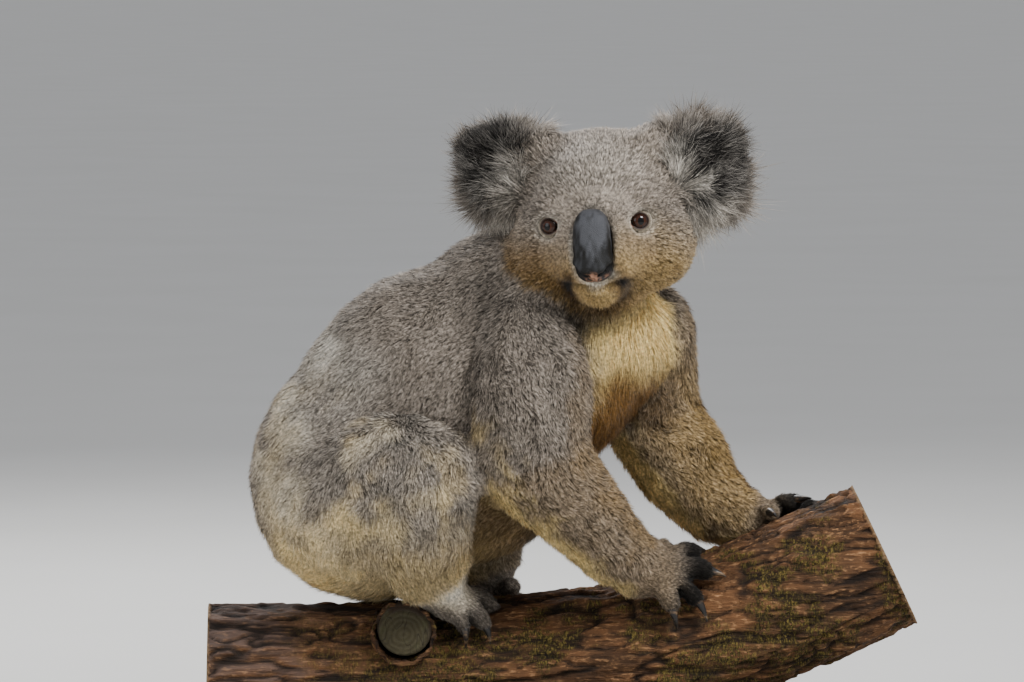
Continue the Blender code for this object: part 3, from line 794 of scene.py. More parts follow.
# %% Markings of the ears
ear = is_part["ear"]
ear_lobe = ear * near(np.abs(head_view) * (1, 1, -1), (76, -12, 2), (22, 30, 22), 0.3)
ear_inner, ear_streak, ear_near = np.zeros((3, len(skin_points)))
for side in SIDES:
    here = part_side == side
    from_middle = (skin_points - middle(f"ear_{side}")) @ turn * 1000
    from_root = (skin_points - ear_roots[f"ear_{side}"]) @ turn * 1000
    bearing = np.arctan2(from_root[:, 2], np.abs(from_root[:, 0]))
    bent = np.sin(bearing * 9 + 5 * lumps(skin_points, 0.02, 14))
    ear_inner += ear * here * (1 - ramp(np.linalg.norm(from_middle[:, [0, 2]], axis=1), 16, 30))
    ear_streak += here * ramp(bent, 0.1, 0.8)
    ear_near += here * (1 - ramp(np.linalg.norm(from_root, axis=1), 14, 40))
ear_dark = np.clip(0.55 + 0.6 * ear_inner, 0, 1) * (1 - 0.45 * ear_streak * ear_near)
ear_front = spread((ear > 0.5) * ramp(-(skin_normals @ turn)[:, 1], -0.05, 0.4), 4)
print("ear fronts", int((ear_front > 0.5).sum()), "points")

# %% [markdown]
# ## From markings to paints
# Five paints and a frosting are enough for the whole animal. Each is a sum of the markings that use it,
# with a weight for each one. The sums are smoothed a little, so that no edge is sharper than a tuft is
# wide.

# %% Gather the markings by paint
hand, forearm, thigh = (is_part[name] for name in ("hand", "forearm", "thigh"))
MARKS = {
    "tan": (0.9 * low_cheek + 0.3 * chin + 0.35 * arm_front + 0.42 * far_arm * ramp(ahead, -0.6, 0.3)
            + 0.4 * forearm + 0.45 * hand * (1 - digits) + 0.8 * under
            + 0.25 * (leg + rump) * ramp(fine_cloud, 0.5, 0.9)),
    "cream": (chest + 0.8 * arm_rear + 0.1 * far_arm + 0.3 * dusty + 0.6 * low_rump * (1 - 0.4 * cloud)
              + 0.45 * leg * ramp(0.5 * cloud + 0.6 * fine_cloud, 0.52, 0.85) + patch_cream
              + 0.3 * chin + 0.5 * lip_patch + 0.20 * low_cheek + 0.5 * instep),
    # Stain: the near cheek's share is painted shade, and under the jaw it is brown fur deepened by painted
    # shade.
    "stain": (0.95 * lower_chest + 0.45 * inner_arm + 0.2 * low_rump * cloud + 0.22 * chin
              + 0.7 * under_chin + 0.8 * corner + 0.45 * near_cheek_shade
              + 0.25 * low_cheek * ramp(fine_cloud, 0.5, 0.9)),
    # Painted shade in dark: nose edge, mouth groove, under the jaw, throat, near cheek, toe gaps, folds,
    # the creases by knee and arm, shoulder, nape, low flank.
    "dark": (1.15 * ear_front * ear_dark * (1 - 0.6 * ear_lobe) + 0.8 * nose_shade + 1.1 * corner
             + 0.35 * mouth + 0.2 * chin + 0.5 * under_chin + 0.32 * near_cheek_shade + 0.55 * below_chin
             + 0.95 * digits + 0.6 * gaps + 0.12 * hand + 0.75 * folds + 0.5 * knee * (1 - on_thigh)
             + 0.3 * armpit + 0.35 * inner_arm + 0.32 * shoulder + 0.28 * nape_shade + 0.2 * low_flank_shade
             + 0.25 * (1 - chest) * torso * ramp(cloud, 0.62, 0.9) * (1 - rump)),
    # Painted light in white: the thigh's edge along the knee crease and the whole thigh a little paler; the
    # two high patches are partly painted glints.
    "white": (0.85 * instep + 0.35 * eye_ring + 0.7 * nose_rim * (1 - nose_shade) * (1 - chin)
              + 0.25 * lip_patch + 0.18 * frosted_lit_forehead + 0.32 * ear_lobe
              + 0.42 * ear_front * ear_streak * ear_near + patch_white + 0.3 * low_back
              + 0.3 * knee * on_thigh + 0.09 * thigh),
    # Frost on the forehead is partly painted light from above.
    "frost": (0.35 + 0.45 * frosted_lit_forehead + 0.45 * ear * (1 - 0.9 * ear_front) + 0.22 * ear_front
              + 0.2 * low_back - 0.3 * digits - 0.3 * corner),
}
MARKS = {name: np.clip(spread(total, 2), 0, 1) for name, total in MARKS.items()}
print({name: round(float(total.mean()), 3) for name, total in MARKS.items()})

# %% [markdown]
# ## The colour of the coat
# One recipe mixes the paints, and both the skin and the tufts use it. A koala's hairs are dark near the
# root and pale at the tip, which gives the salt-and-pepper look, so a tuft's colour also changes along its
# length and a little from tuft to tuft. The dark near the root is partly painted shade deep in the coat.
# The skin is only glimpsed between tufts, deep in the shade, so it takes the darker root colour as painted
# shade.

# %% Coat colours
GREY, PALE_GREY = tone(130, 118, 104), tone(176, 164, 150)
PAINTS = {"tan": tone(158, 126, 76), "cream": tone(255, 224, 150), "stain": tone(124, 82, 26),
          "dark": tone(22, 19, 16), "white": tone(250, 243, 228)}
FROSTED = tone(216, 208, 198)


def coat_colour(finish):
    """The grey coat, a little cloudy, with all its markings."""
    colour = finish.blend(finish.speckle(60), GREY, PALE_GREY)
    return finish.layered(colour, *((finish.stored(name), paint) for name, paint in PAINTS.items()))


hide = Finish("hide under the coat", Roughness=0.9, Specular_IOR_Level=0.15)
grain = hide.speckle(900, 2)
# Painted shade: the skin under the coat is darkened to about half the coat's colour.
hide.feed(Base_Color=hide.shade(coat_colour(hide), 0.35 + 0.3 * grain))
hide.bump(grain, 0.0012, 0.8)

coat = Finish("coat", Roughness=0.7, Specular_IOR_Level=0.14, Sheen_Weight=0.05, Sheen_Roughness=0.5)
along, chance = coat.stored("along"), coat.stored("chance")
# Blades darken towards the root: partly the hair's own colour, partly painted shade deep in the coat.
light = (0.20 + 0.98 * along.step(0.0, 0.9)) * (0.34 + 1.26 * chance)
light = light + (1 - light) * 0.72 * (coat.stored("cream") + coat.stored("white")).held()
light = light * (0.50 + 0.96 * coat.speckle(430, 2).step(0.28, 0.72))
frost = coat.stored("frost") * along.step(0.35, 1.0) * chance.step(0.35, 0.95)
coat.feed(Base_Color=coat.blend(frost * 0.85, coat.shade(coat_colour(coat), light), FROSTED))
print("coat finishes ready")

# %% [markdown]
# ## The skin as an object
# The skin now becomes a mesh with its markings on its points.


# %% Show the skin
def settled(obj, slot, *nodes):
    """The piece rides on the body, and the given frame parts are hidden."""
    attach(obj, "root")
    if nodes:
        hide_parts(*nodes)


settled(as_object("skin", skin_points, skin_faces, hide, **MARKS), "coat", *FLESH)
print("skin after", round(time.time() - started, 1), "s")

# %% [markdown]
# ## Eyes
# A koala's eye is brown with a black pupil, and no white shows. The eyeball is a smooth sphere with a high
# gloss like wet glass, and bulges a little in front. Its colours are rings about the way it looks, so each
# point of the sphere stores its angle from that direction, and the finish turns the angle into iris and
# dark rim. The pupil is an upright oval, so it has a number of its own, which is 1 at the pupil's edge.

# %% Eyeballs
eye_finish = Finish("eye", Roughness=0.05, Coat_Weight=0.2, Coat_Roughness=0.02, Specular_IOR_Level=0.2)
angle = eye_finish.stored("angle")
iris = angle.step(12, 34) * 0.8 + 0.35 * eye_finish.stored("fibre")
eye_finish.feed(Base_Color=eye_finish.layered(
    eye_finish.blend(iris, tone(66, 34, 18), tone(34, 17, 9)),
    (angle.step(38, 45), tone(14, 8, 6)),
    (1 - eye_finish.stored("pupil").step(0.85, 1.12), tone(4, 3, 3)),
))
GAZE = (0.34, -1.0, 0.03)  # outwards, back and up, in the head's own directions
EYE_SET_BACK = 0.0008
PUPIL_HALF = (2.4, 2.9)  # millimetres across and up


def eye_frame(side):
    """(centre, radius, ahead, outwards, up) of an eye, in metres."""
    low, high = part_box(f"eye_{side}")
    outwards = 1 if side == "left" else -1
    ahead = turn @ unit(np.array(GAZE) * (outwards, 1, 1))
    level = unit(np.cross(ahead, turn[:, 2]))
    up = unit(np.cross(level, ahead))
    return middle(f"eye_{side}") - ahead * EYE_SET_BACK, (high.x - low.x) / 2, ahead, -outwards * level, up


def grid_faces(rows, columns):
    """Triangles of a grid whose columns close on themselves."""
    r, c = np.meshgrid(np.arange(rows - 1), np.arange(columns), indexing="ij")
    a, b = (r * columns + c).ravel(), (r * columns + (c + 1) % columns).ravel()
    one, other = np.stack([a, b, b + columns], 1), np.stack([a, b + columns, a + columns], 1)
    return np.concatenate([one, other])


def facing_out(points, triangles, centre):
    """The same triangles, turned to face away from a centre."""
    a, b, c = (points[triangles[:, k]] for k in range(3))
    wrong = (np.cross(b - a, c - a) * (a - centre)).sum(1).sum() < 0
    return triangles[:, ::-1] if wrong else triangles


def eyeball(side, rows=40, columns=64):
    """A sphere with its pole where the eye looks, and its numbers for the finish."""
    centre, radius, forward, out, up = eye_frame(side)
    polar, bearing = np.meshgrid(np.linspace(0.001, math.pi - 0.001, rows),
                                 np.linspace(0, 2 * math.pi, columns, endpoint=False), indexing="ij")
    reach = radius * (1 + 0.05 * np.exp(-((polar / 0.62) ** 4)))
    across, upright = np.sin(polar) * np.cos(bearing), np.sin(polar) * np.sin(bearing)
    way = np.cos(polar)[..., None] * forward + across[..., None] * out + upright[..., None] * up
    points = (centre + reach[..., None] * way).reshape(-1, 3)
    pupil = np.hypot(across * radius * 1000 / PUPIL_HALF[0], upright * radius * 1000 / PUPIL_HALF[1])
    fibre = 0.5 + 0.5 * np.sin(bearing * 23 + 3 * np.sin(bearing * 7))
    triangles = facing_out(points, grid_faces(rows, columns), centre)
    return as_object(f"eyeball_{side}", points, triangles, eye_finish,
                     angle=np.degrees(polar).ravel(), pupil=pupil.ravel(), fibre=fibre.ravel())


for side in SIDES:
    settled(eyeball(side), "eye", f"eye_{side}")
print("eyeballs ready")

# %% [markdown]
# ## Eyelids
# The lids are two folds that leave an almond-shaped opening, drawn out a little at the corner beside the
# nose. Carving them into the skin would need very small faces, so each eye gets its own ring of skin: it
# starts just inside the opening, rolls over the edge, follows the eyeball, and runs out under the fur of
# the face. The inner corner is pink, the edge is bare and dark, and the rest is pale like the ring of fur
# round it.

# %% Lids
lid_finish = Finish("eyelid", Roughness=0.55, Specular_IOR_Level=0.35)
pink = lid_finish.stored("pink")
lid_finish.feed(Base_Color=lid_finish.layered(
    lid_finish.blend(lid_finish.speckle(700), tone(104, 90, 74), tone(150, 136, 116)),
    (pink, tone(176, 112, 92)),
    (lid_finish.stored("edge") * (1 - 0.6 * pink), tone(40, 28, 24)),
))
lid_finish.bump(lid_finish.speckle(1500), 0.0004, 0.5)
# Rings of a lid: degrees outside the opening, millimetres above the eyeball, how much it follows the skin
# instead, how dark its edge is, and how pink it may be
LID_PLAN = ((-2, -0.5, 0, 1.0, 1), (0, 0.15, 0, 1.0, 1), (1.5, 0.75, 0, 0.9, 1), (5, 1.15, 0, 0.15, 0.9),
            (10, 1.15, 0, 0, 0.5), (17, 0.9, 0.25, 0, 0), (25, 0.5, 0.6, 0, 0), (34, 0.0, 0.9, 0, 0),
            (44, -0.5, 1.0, 0, 0))
LID_COLUMNS = 72
lid_bearing = np.linspace(0, 2 * math.pi, LID_COLUMNS, endpoint=False)
skin_tree = BVHTree.FromPolygons(skin_points.tolist(), skin_faces.tolist())
lid_grounds = []  # points, outward directions and the way the hair lies, for the fur on the lids


def on_skin(points, below):
    """The nearest places on the skin, a little below its surface."""
    found = [skin_tree.find_nearest(p) for p in points.tolist()]
    places, outs = (np.array([tuple(hit[k]) for hit in found]) for k in range(2))
    return places - outs * below


def lids(side):
    """The points of an eye's lids, ring by ring, and the middle of the eye."""
    centre, radius, forward, out, up = eye_frame(side)
    across, upright = np.cos(lid_bearing), np.sin(lid_bearing)
    opening = 1 / np.sqrt((across / 44) ** 2 + (upright / np.where(upright > 0, 41, 39)) ** 2)
    opening = opening + 12 * ramp(-across, 0.75, 1.0)
    rings = []
    for wider, above, skinned, _, _ in LID_PLAN:
        tilt = np.radians(opening + wider)[:, None]
        way = np.cos(tilt) * forward + np.sin(tilt) * (across[:, None] * out + upright[:, None] * up)
        ring = centre + way * (radius + above / 1000)
        if skinned:
            under_fur = on_skin(centre + way * (radius + 0.002), 0.0008 * skinned)
            ring = ring * (1 - skinned) + under_fur * skinned
        rings.append(ring)
    return np.concatenate(rings), centre


edge_size, pink_share = (np.repeat([ring[k] for ring in LID_PLAN], LID_COLUMNS) for k in (3, 4))
pink_size = np.tile(ramp(-np.cos(lid_bearing), 0.72, 0.98), len(LID_PLAN)) * pink_share
for side in SIDES:
    points, centre = lids(side)
    triangles = facing_out(points, grid_faces(len(LID_PLAN), LID_COLUMNS), centre)
    lid = as_object(f"lids_{side}", points, triangles, lid_finish, edge=edge_size, pink=pink_size)
    settled(lid, "coat")
    lid_grounds.append((points, unit(points - centre), unit(np.roll(points, -LID_COLUMNS, 0) - points)))
print("lids ready")

# %% [markdown]
# ## The lie of the coat
# Fur has a direction. On the face it runs away from the nose, over the brow and out across the cheeks. On
# the back it runs from neck to rump and down the flanks, on the limbs it runs towards the paws, and on the
# ears it fans out from the root. Each limb's direction is taken from the middles of the frame's parts, laid
# flat against the skin, and smoothed so that one flow runs into the next. A slow random sway keeps it from
# looking combed by a machine.


# %% Comb the coat
def towards(first, second):
    """From the middle of one frame part towards the middle of another."""
    return unit(middle(second) - middle(first))


def laid_flat(vectors):
    """The part of each direction that runs along the skin."""
    return unit(vectors - (vectors * skin_normals).sum(1, keepdims=True) * skin_normals)


def limb_lies(side):
    """The way the hair lies on each part of the limbs of a side."""
    return {"upper_arm": towards(f"upper_arm_{side}", f"forearm_{side}"),
            "forearm": towards(f"upper_arm_{side}", f"hand_{side}"), "hand": claws_ahead("hand", side),
            "thigh": towards(f"thigh_{side}", f"shank_{side}") * (0.2, 1, 1.4),
            "shank": (0.15, 0, -1.0), "foot": claws_ahead("foot", side)}


FROM_MUZZLE = (0, -78, -4)
flank = np.stack([np.full(len(x), -0.75), 0.25 * outward, -0.55 - 0.5 * np.abs(outward)], 1)
front_share = (ramp(ahead, 0.1, 0.6) * ramp(x, 0, 40))[:, None]
lie = flank * (1 - front_share) + np.array((0.1, 0, -1.0)) * front_share
lie[part_name == "head"] = ((head_view - FROM_MUZZLE) @ turn.T)[part_name == "head"]
for side in SIDES:
    on_side = part_side == side
    ear_here = on_side & (part_name == "ear")
    fan = (skin_points - ear_roots[f"ear_{side}"])[ear_here]
    lie[ear_here] = unit(fan * (1, 1, 0.8)) - (0, 0, 0.25)
    for name, way in limb_lies(side).items():
        lie[on_side & (part_name == name)] = way
lie = unit(lie)
for _ in range(3):
    lie = laid_flat(smoothed(laid_flat(lie), skin_edges, 6))

WAVES = {"head": 0.35, "neck": 0.6, "trunk": 0.5, "ear": 1.5, "upper_arm": 1.0, "forearm": 1.0,
         "hand": 0.2, "thigh": 1.0, "shank": 0.8, "foot": 0.2}
slow, quick = (lumps(skin_points, size, seed) - 0.5 for size, seed in ((0.016, 5), (0.007, 6)))
sway = (by_part(WAVES) * (1.5 * slow + 1.3 * quick))[:, None]
lie = laid_flat(lie * np.cos(sway) + np.cross(skin_normals, lie) * np.sin(sway))
print("coat combed, sways up to", round(float(np.degrees(np.abs(sway).max()))), "degrees")

# %% [markdown]
# ## Lengths
# The table gives each part's fur: how long a hair is, how far its tip stands off the skin, how wide a lock
# of hairs is, and how wide one blade is. The face then gets its own sizes, under two millimetres beside
# the nose and eyes. Hair is longer on the chest and low on the rump, shorter in the folds, and longest on
# the ears, where uneven lengths give a ragged fringe.

# %% Sizes of the fur
#                    length, stand-off, lock radius, blade half width, in millimetres
FUR = {"head": (6.2, 2.3, 1.1, 0.19), "neck": (8.0, 4.0, 1.15, 0.21), "trunk": (7.6, 3.8, 1.1, 0.21),
       "ear": (15.0, 4.4, 2.3, 0.20), "upper_arm": (8.6, 4.1, 1.35, 0.23), "forearm": (8.4, 3.8, 1.3, 0.23),
       "hand": (3.9, 1.1, 0.9, 0.18), "thigh": (8.8, 4.2, 1.35, 0.23), "shank": (8.4, 3.8, 1.3, 0.23),
       "foot": (3.9, 1.1, 0.9, 0.18)}
length, standoff, lock, width = (by_part({n: row[k] for n, row in FUR.items()}, 8) for k in range(4))
face_share = spread(face, 4)
tight = is_head * np.maximum(1 - ramp(to_eye, 10, 20), 1 - ramp(to_nose, 1.0, 1.7))
length = length * (1 - 0.40 * face_share) * (1 - 0.55 * tight) + 2.0 * low_cheek + 6.0 * chest
length = length + 5.0 * below_chin + 3.5 * low_rump + 1.5 * chin
standoff = standoff * (1 - 0.5 * face_share) * (1 - 0.6 * tight) + 2.0 * chest + 1.5 * low_rump
lock = lock * (1 - 0.25 * face_share) * (1 - 0.4 * tight)
in_fold = np.clip(1.2 * (knee + armpit) * (1 - on_thigh) + 0.5 * folds + heel, 0, 1)
length, standoff = length * (1 - 0.5 * in_fold), standoff * (1 - 0.6 * in_fold)
ear_low = ear * ramp(-head_view[:, 2], -42, -8)
length = length + 5.0 * ear * (1 - 0.5 * ear_front) + 6.0 * ear_low
length = length * (1 + 1.1 * ear * (lumps(skin_points, 0.009, 33) - 0.5))
fields = {"length": length, "standoff": standoff, "lock": lock, "width": width, **MARKS}
print("hair from", round(length.min(), 1), "to", round(length.max(), 1), "mm")

# %% [markdown]
# ## Fur on the lids
# The lids are furred almost to their edge, so their rings join the ground that the coat grows on. They
# carry fine hairs about two millimetres long, pale, set densely and combed away from the eye.

# %% Fur on the lids
LID_FUR = {"length": 2.3, "standoff": 0.5, "lock": 0.45, "width": 0.12,
           "tan": 0.15, "cream": 0.1, "stain": 0, "dark": 0, "white": 0.3, "frost": 0.5}
LID_BARE_RINGS, LID_FURRED_RINGS, LID_DENSITY = 3, 5, 3.0
lid_faces = grid_faces(LID_FURRED_RINGS, LID_COLUMNS) + LID_BARE_RINGS * LID_COLUMNS + len(skin_points)
lid_faces = np.concatenate([lid_faces, lid_faces + len(lid_grounds[0][0])])
density = np.ones(len(skin_points))
skin_points, skin_normals, lie = (
    np.concatenate([ground, *lid_parts])
    for ground, lid_parts in zip((skin_points, skin_normals, lie), zip(*lid_grounds))
)
extra = len(skin_points) - len(density)
density = np.append(density, np.full(extra, LID_DENSITY))
fields = {key: np.append(values, np.full(extra, LID_FUR[key])) for key, values in fields.items()}
print("lid fur over", len(lid_faces), "triangles")

# %% [markdown]
# ## Where the tufts go
# A lock of hair starts somewhere on a triangle of the skin. Big triangles get more locks than small ones,
# so the locks are dealt out along the running total of the triangles' areas. Every blade also needs a place
# on a flat map where its colour can be painted, and an unwrap of the skin's own triangles gives each lock
# its place.


# %% Scatter and unwrap
def scattered(triangles, count, rng):
    """(triangle, share of each corner) for places spread evenly over the skin, but denser on the lids."""
    a, b, c = (skin_points[triangles[:, k]] for k in range(3))
    room = np.linalg.norm(np.cross(b - a, c - a), axis=1) * density[triangles].mean(1)
    total = np.cumsum(room)
    index = np.searchsorted(total, (np.arange(count) + rng.random(count)) / count * total[-1])
    one, two = np.sqrt(rng.random(count)), rng.random(count)
    return np.minimum(index, len(triangles) - 1), np.stack([1 - one, one * (1 - two), one * two], 1)


def unwrapped(triangles):
    """Map places for each corner of these skin triangles, from an unwrap of the skin's own shape."""
    used, index = np.unique(triangles, return_inverse=True)
    patch = as_object("patch", skin_points[used], index.reshape(-1, 3))
    bpy.context.view_layer.objects.active = patch
    bpy.ops.object.select_all(action="DESELECT")
    patch.select_set(True)
    bpy.ops.object.mode_set(mode="EDIT")
    bpy.ops.mesh.select_all(action="SELECT")
    bpy.ops.uv.smart_project(angle_limit=math.radians(72), island_margin=0.004)
    bpy.ops.object.mode_set(mode="OBJECT")
    places = np.empty(len(triangles) * 6)
    patch.data.uv_layers.active.data.foreach_get("uv", places)
    bpy.data.objects.remove(patch, do_unlink=True)
    return places.reshape(-1, 3, 2)


def map_places(triangles, index, share, offset, blades):
    """Each blade's root on the map: its lock's place, moved as the root is moved on the skin."""
    points, places = skin_points[triangles[index]], unwrapped(triangles)[index]
    legs, map_legs = (
        np.stack([corners[:, 1] - corners[:, 0], corners[:, 2] - corners[:, 0]], 2)
        for corners in (points, places)
    )
    to_map = np.repeat(map_legs @ np.linalg.pinv(legs), blades, 0)
    roots = np.repeat((places * share[..., None]).sum(1), blades, 0)
    return np.clip(roots + np.einsum("nij,nj->ni", to_map, offset), 0.002, 0.994)


print("scatter ready")

# %% [markdown]
# ## The shape of a blade
# Millions of real hairs would be too heavy, and hair curves would be lost when the model is saved for other
# programs, so the hairs are narrow blades of mesh. A blade is a strip of one, two or four triangles: it
# rises from just under the skin, bends over, and ends in a point.

# %% Shapes of a blade
# Stations along a blade: how far along, how high, how spread, how loose, and how wide; 0 wide is a point.
SHAPES = {
    "spike": ((0.0, -0.15, 1.0, 0.0, 1.0), (0.95, 1.0, 0.5, 1.0, 0)),
    "kite": ((0.0, -0.2, 1.0, 0.0, 0), (0.38, 0.62, 0.85, 0.3, 1.0), (0.95, 1.0, 0.45, 1.0, 0)),
    "long": ((0.0, -0.2, 1.0, 0.0, 0), (0.26, 0.5, 0.8, 0.2, 1.0), (0.62, 0.88, 0.45, 0.55, 0.75),
             (0.97, 1.0, 0.2, 1.2, 0)),
}


def blade_plan(shape):
    """(point as its station and its side of the middle line, triangles) of one blade."""
    spots, ends = [], []
    for number, station in enumerate(SHAPES[shape]):
        sides = (-1, 1) if station[-1] else (0,)
        ends.append([len(spots) + k for k in range(len(sides))])
        spots += [(number, side) for side in sides]
    triangles = []
    for first, second in zip(ends[:-1], ends[1:]):
        if len(first) == 2:
            triangles.append((first[0], second[-1], first[1]))
        if len(second) == 2:
            triangles.append((first[0], second[0], second[1]))
    return spots, np.array(triangles)


print({shape: len(blade_plan(shape)[1]) for shape in SHAPES}, "triangles a blade")

# %% [markdown]
# ## Locks
# A lock is a handful of blades whose roots are spread over a small disc and whose tips draw together, as
# damp wool does. Every lock gets its own turn, length, rise and tone. All of it is worked out for a whole
# piece of coat at once, with one array for each kind of number, and repeated for the blades of each lock.


# %% Locks on the skin
def locks_on(triangles, count, blades, frizz, rng):
    """What the blades of each lock share, and the skin triangle and corner shares of the locks."""
    index, share = scattered(triangles, count, rng)
    corners = triangles[index]

    def at(values):
        """The values at each lock."""
        return (values[corners] * share.reshape(share.shape + (1,) * (values.ndim - 1))).sum(1)

    normal = unit(at(skin_normals))
    flow = unit(at(lie) - (at(lie) * normal).sum(1, keepdims=True) * normal)
    yaw = rng.normal(0, 0.16 * frizz, count)[:, None]
    flow = flow * np.cos(yaw) + np.cross(normal, flow) * np.sin(yaw)
    lock = {key: at(values) for key, values in fields.items()}
    lock.update(root=at(skin_points), normal=normal, flow=flow, side=np.cross(normal, flow))
    lock["longer"], lock["higher"] = rng.uniform(0.8, 1.15, count), rng.uniform(0.65, 1.3, count)
    lock["tone"] = rng.random(count)
    return {key: np.repeat(values, blades, 0) for key, values in lock.items()}, index, share


print("locks carry", len(fields), "fields")

# %% [markdown]
# ## Blades in locks
# Every blade strays a little from its lock in length, rise, direction and width, and rolls about its own
# length, so that no two catch the light alike. Its points then follow from the stations of its shape.


# %% Blades in locks
def blade_points(lock, shape, frizz, rng):
    """The points of every blade, and how far its root lies from its lock's middle, in metres."""
    total, flow, side, normal = len(lock["root"]), lock["flow"], lock["side"], lock["normal"]
    draw_in, angle = np.sqrt(rng.random(total)), rng.uniform(0, 2 * math.pi, total)
    in_lock = flow * (draw_in * np.cos(angle) * lock["lock"])[:, None]
    in_lock = in_lock + side * (draw_in * np.sin(angle) * lock["lock"])[:, None]
    long = (lock["length"] * lock["longer"] * rng.uniform(0.75, 1.15, total))[:, None]
    rise = (lock["standoff"] * lock["higher"] * rng.uniform(0.6, 1.25, total))[:, None]
    stray = rng.normal(0, 0.10 * frizz, (total, 3)) * long
    roll = rng.uniform(-0.9, 0.9, total)[:, None]
    half = (lock["width"] * rng.uniform(0.75, 1.3, total))[:, None]
    wide = (side * np.cos(roll) + normal * np.sin(roll)) * half
    middles = [in_lock * draw + flow * long * forward + normal * rise * up + stray * loose
               for forward, up, draw, loose, _ in SHAPES[shape]]
    thick = [station[-1] for station in SHAPES[shape]]
    spots = [middles[n] + wide * (s * thick[n]) for n, s in blade_plan(shape)[0]]
    return lock["root"][:, None] + np.stack(spots, 1) / 1000, in_lock / 1000


print("blades ready")

# %% [markdown]
# ## A piece of the coat
# The blades of a piece become one mesh, with the markings, the place along the blade and a random tone
# stored on its points. The blades are shaded with the skin's normals, leaned a little, so that the coat
# takes the light as one soft surface and not as a heap of splinters. Each blade gets a small patch of the
# map.

# %% A piece of coat
PATCH = 0.003  # a blade's patch on the unwrapped map


def coat_piece(name, triangles, locks, blades, seed, shape="kite", frizz=1.0, lock_share=0.5):
    """A piece of coat: locks of blades on these skin triangles."""
    rng = np.random.default_rng(seed)
    lock, index, share = locks_on(triangles, locks, blades, frizz, rng)
    points, in_lock = blade_points(lock, shape, frizz, rng)
    spots, pattern = blade_plan(shape)
    steps, total = len(spots), locks * blades
    faces = (np.arange(total)[:, None, None] * steps + pattern).reshape(-1, 3)
    lengthways = np.array([SHAPES[shape][n][0] for n, _ in spots])

    tilt = rng.uniform(-0.38, 0.38, total)[:, None]
    shading = unit(lock["normal"] + lock["side"] * tilt + lock["flow"] * 0.22)
    chance = lock_share * lock["tone"] + (1 - lock_share) * rng.random(total)
    stored = {key: np.repeat(lock[key], steps) for key in MARKS}
    stored.update(along=np.tile(lengthways, total), chance=np.repeat(chance, steps))
    obj = as_object(name, points.reshape(-1, 3), faces, coat, **stored)
    normals = obj.data.attributes.new("custom_normal", "FLOAT_VECTOR", "POINT")
    normals.data.foreach_set("vector", np.repeat(shading, steps, 0).astype(np.float32).ravel())

    patch = np.stack([np.array([s / 2 for _, s in spots]), lengthways], 1) * PATCH
    places = map_places(triangles, index, share, in_lock, blades)[:, None] + patch
    layer = obj.data.uv_layers.new(name="OFBake")
    layer.data.foreach_set("uv", places.reshape(-1, 2)[faces.ravel()].astype(np.float32).ravel())
    settled(obj, "coat")
    print(f"{name}: {locks} locks, {len(faces)} triangles")


# %% [markdown]
# ## The coat, piece by piece
# The coat is made in thirteen pieces, because one mesh of a million triangles is slow to handle. Each piece
# takes the skin triangles of its part. The back is split again across the body. The hair of the ears is the
# longest and frizziest, so its blades have one more bend. No tufts grow where the eyeballs and the nose
# leather cover the skin.

# %% Grow the coat
face_name, face_side = part_name[skin_faces[:, 0]], part_side[skin_faces[:, 0]]
face_x = skin_points[skin_faces].mean(1)[:, 0] * 1000
BACK_CUTS = (-110, -30)  # where the back is split, in millimetres along the body


def faces_of(*names, side=None, low=-np.inf, high=np.inf):
    """The skin triangles of these parts, on one side or between two places along the body."""
    chosen = np.isin(face_name, names) & (face_x >= low) & (face_x < high)
    return skin_faces[chosen & (face_side == side)] if side else skin_faces[chosen]


EYE_CLEAR, NOSE_CLEAR = 8.4, 0.97  # millimetres from the eye's middle, and a share of the nose's size
is_face = face_share[skin_faces].mean(1) > 0.35
uncovered = (to_eye[skin_faces].min(1) > EYE_CLEAR) & (to_nose[skin_faces].min(1) > NOSE_CLEAR)
head_here = (face_name == "head") & uncovered
furred_face = np.concatenate([skin_faces[head_here & is_face], lid_faces])
coat_piece("coat_face", furred_face, 18000, 5, 10, shape="spike", lock_share=0.65)
coat_piece("coat_crown", skin_faces[head_here & ~is_face], 12000, 5, 11)
for side, locks, seed in (("right", 2450, 12), ("left", 2500, 13)):
    ear_faces = faces_of("ear", side=side)
    coat_piece(f"coat_ear_{side}", ear_faces, locks, 10, seed, shape="long", frizz=1.7, lock_share=0.75)
coat_piece("coat_rump", faces_of("trunk", high=BACK_CUTS[0]), 18400, 5, 14)
coat_piece("coat_loin", faces_of("trunk", low=BACK_CUTS[0], high=BACK_CUTS[1]), 18400, 5, 15)
shoulder_faces = np.concatenate([faces_of("trunk", low=BACK_CUTS[1]), faces_of("neck")])
coat_piece("coat_shoulders", shoulder_faces, 18600, 5, 16)
for side, seed in (("right", 20), ("left", 30)):
    coat_piece(f"coat_arm_{side}", faces_of("upper_arm", "forearm", side=side), 12400, 5, seed)
    coat_piece(f"coat_leg_{side}", faces_of("thigh", "shank", side=side), 9200, 5, seed + 1)
for paws, limb, seed in (("coat_hands", "hand", 40), ("coat_feet", "foot", 41)):
    coat_piece(paws, faces_of(limb), 9500, 5, seed, shape="spike")
print("coat after", round(time.time() - started, 1), "s")

# %% [markdown]
# ## Nose
# The nose is the koala's badge: a long, bare, egg-shaped pad of slate-black leather, with two comma-shaped
# nostrils low down and a pinkish, mottled patch between them. The frame's smooth nose is remeshed finely
# and widened low down, and the nostrils are pressed in as soft pits, with the same valleys as the mouth.

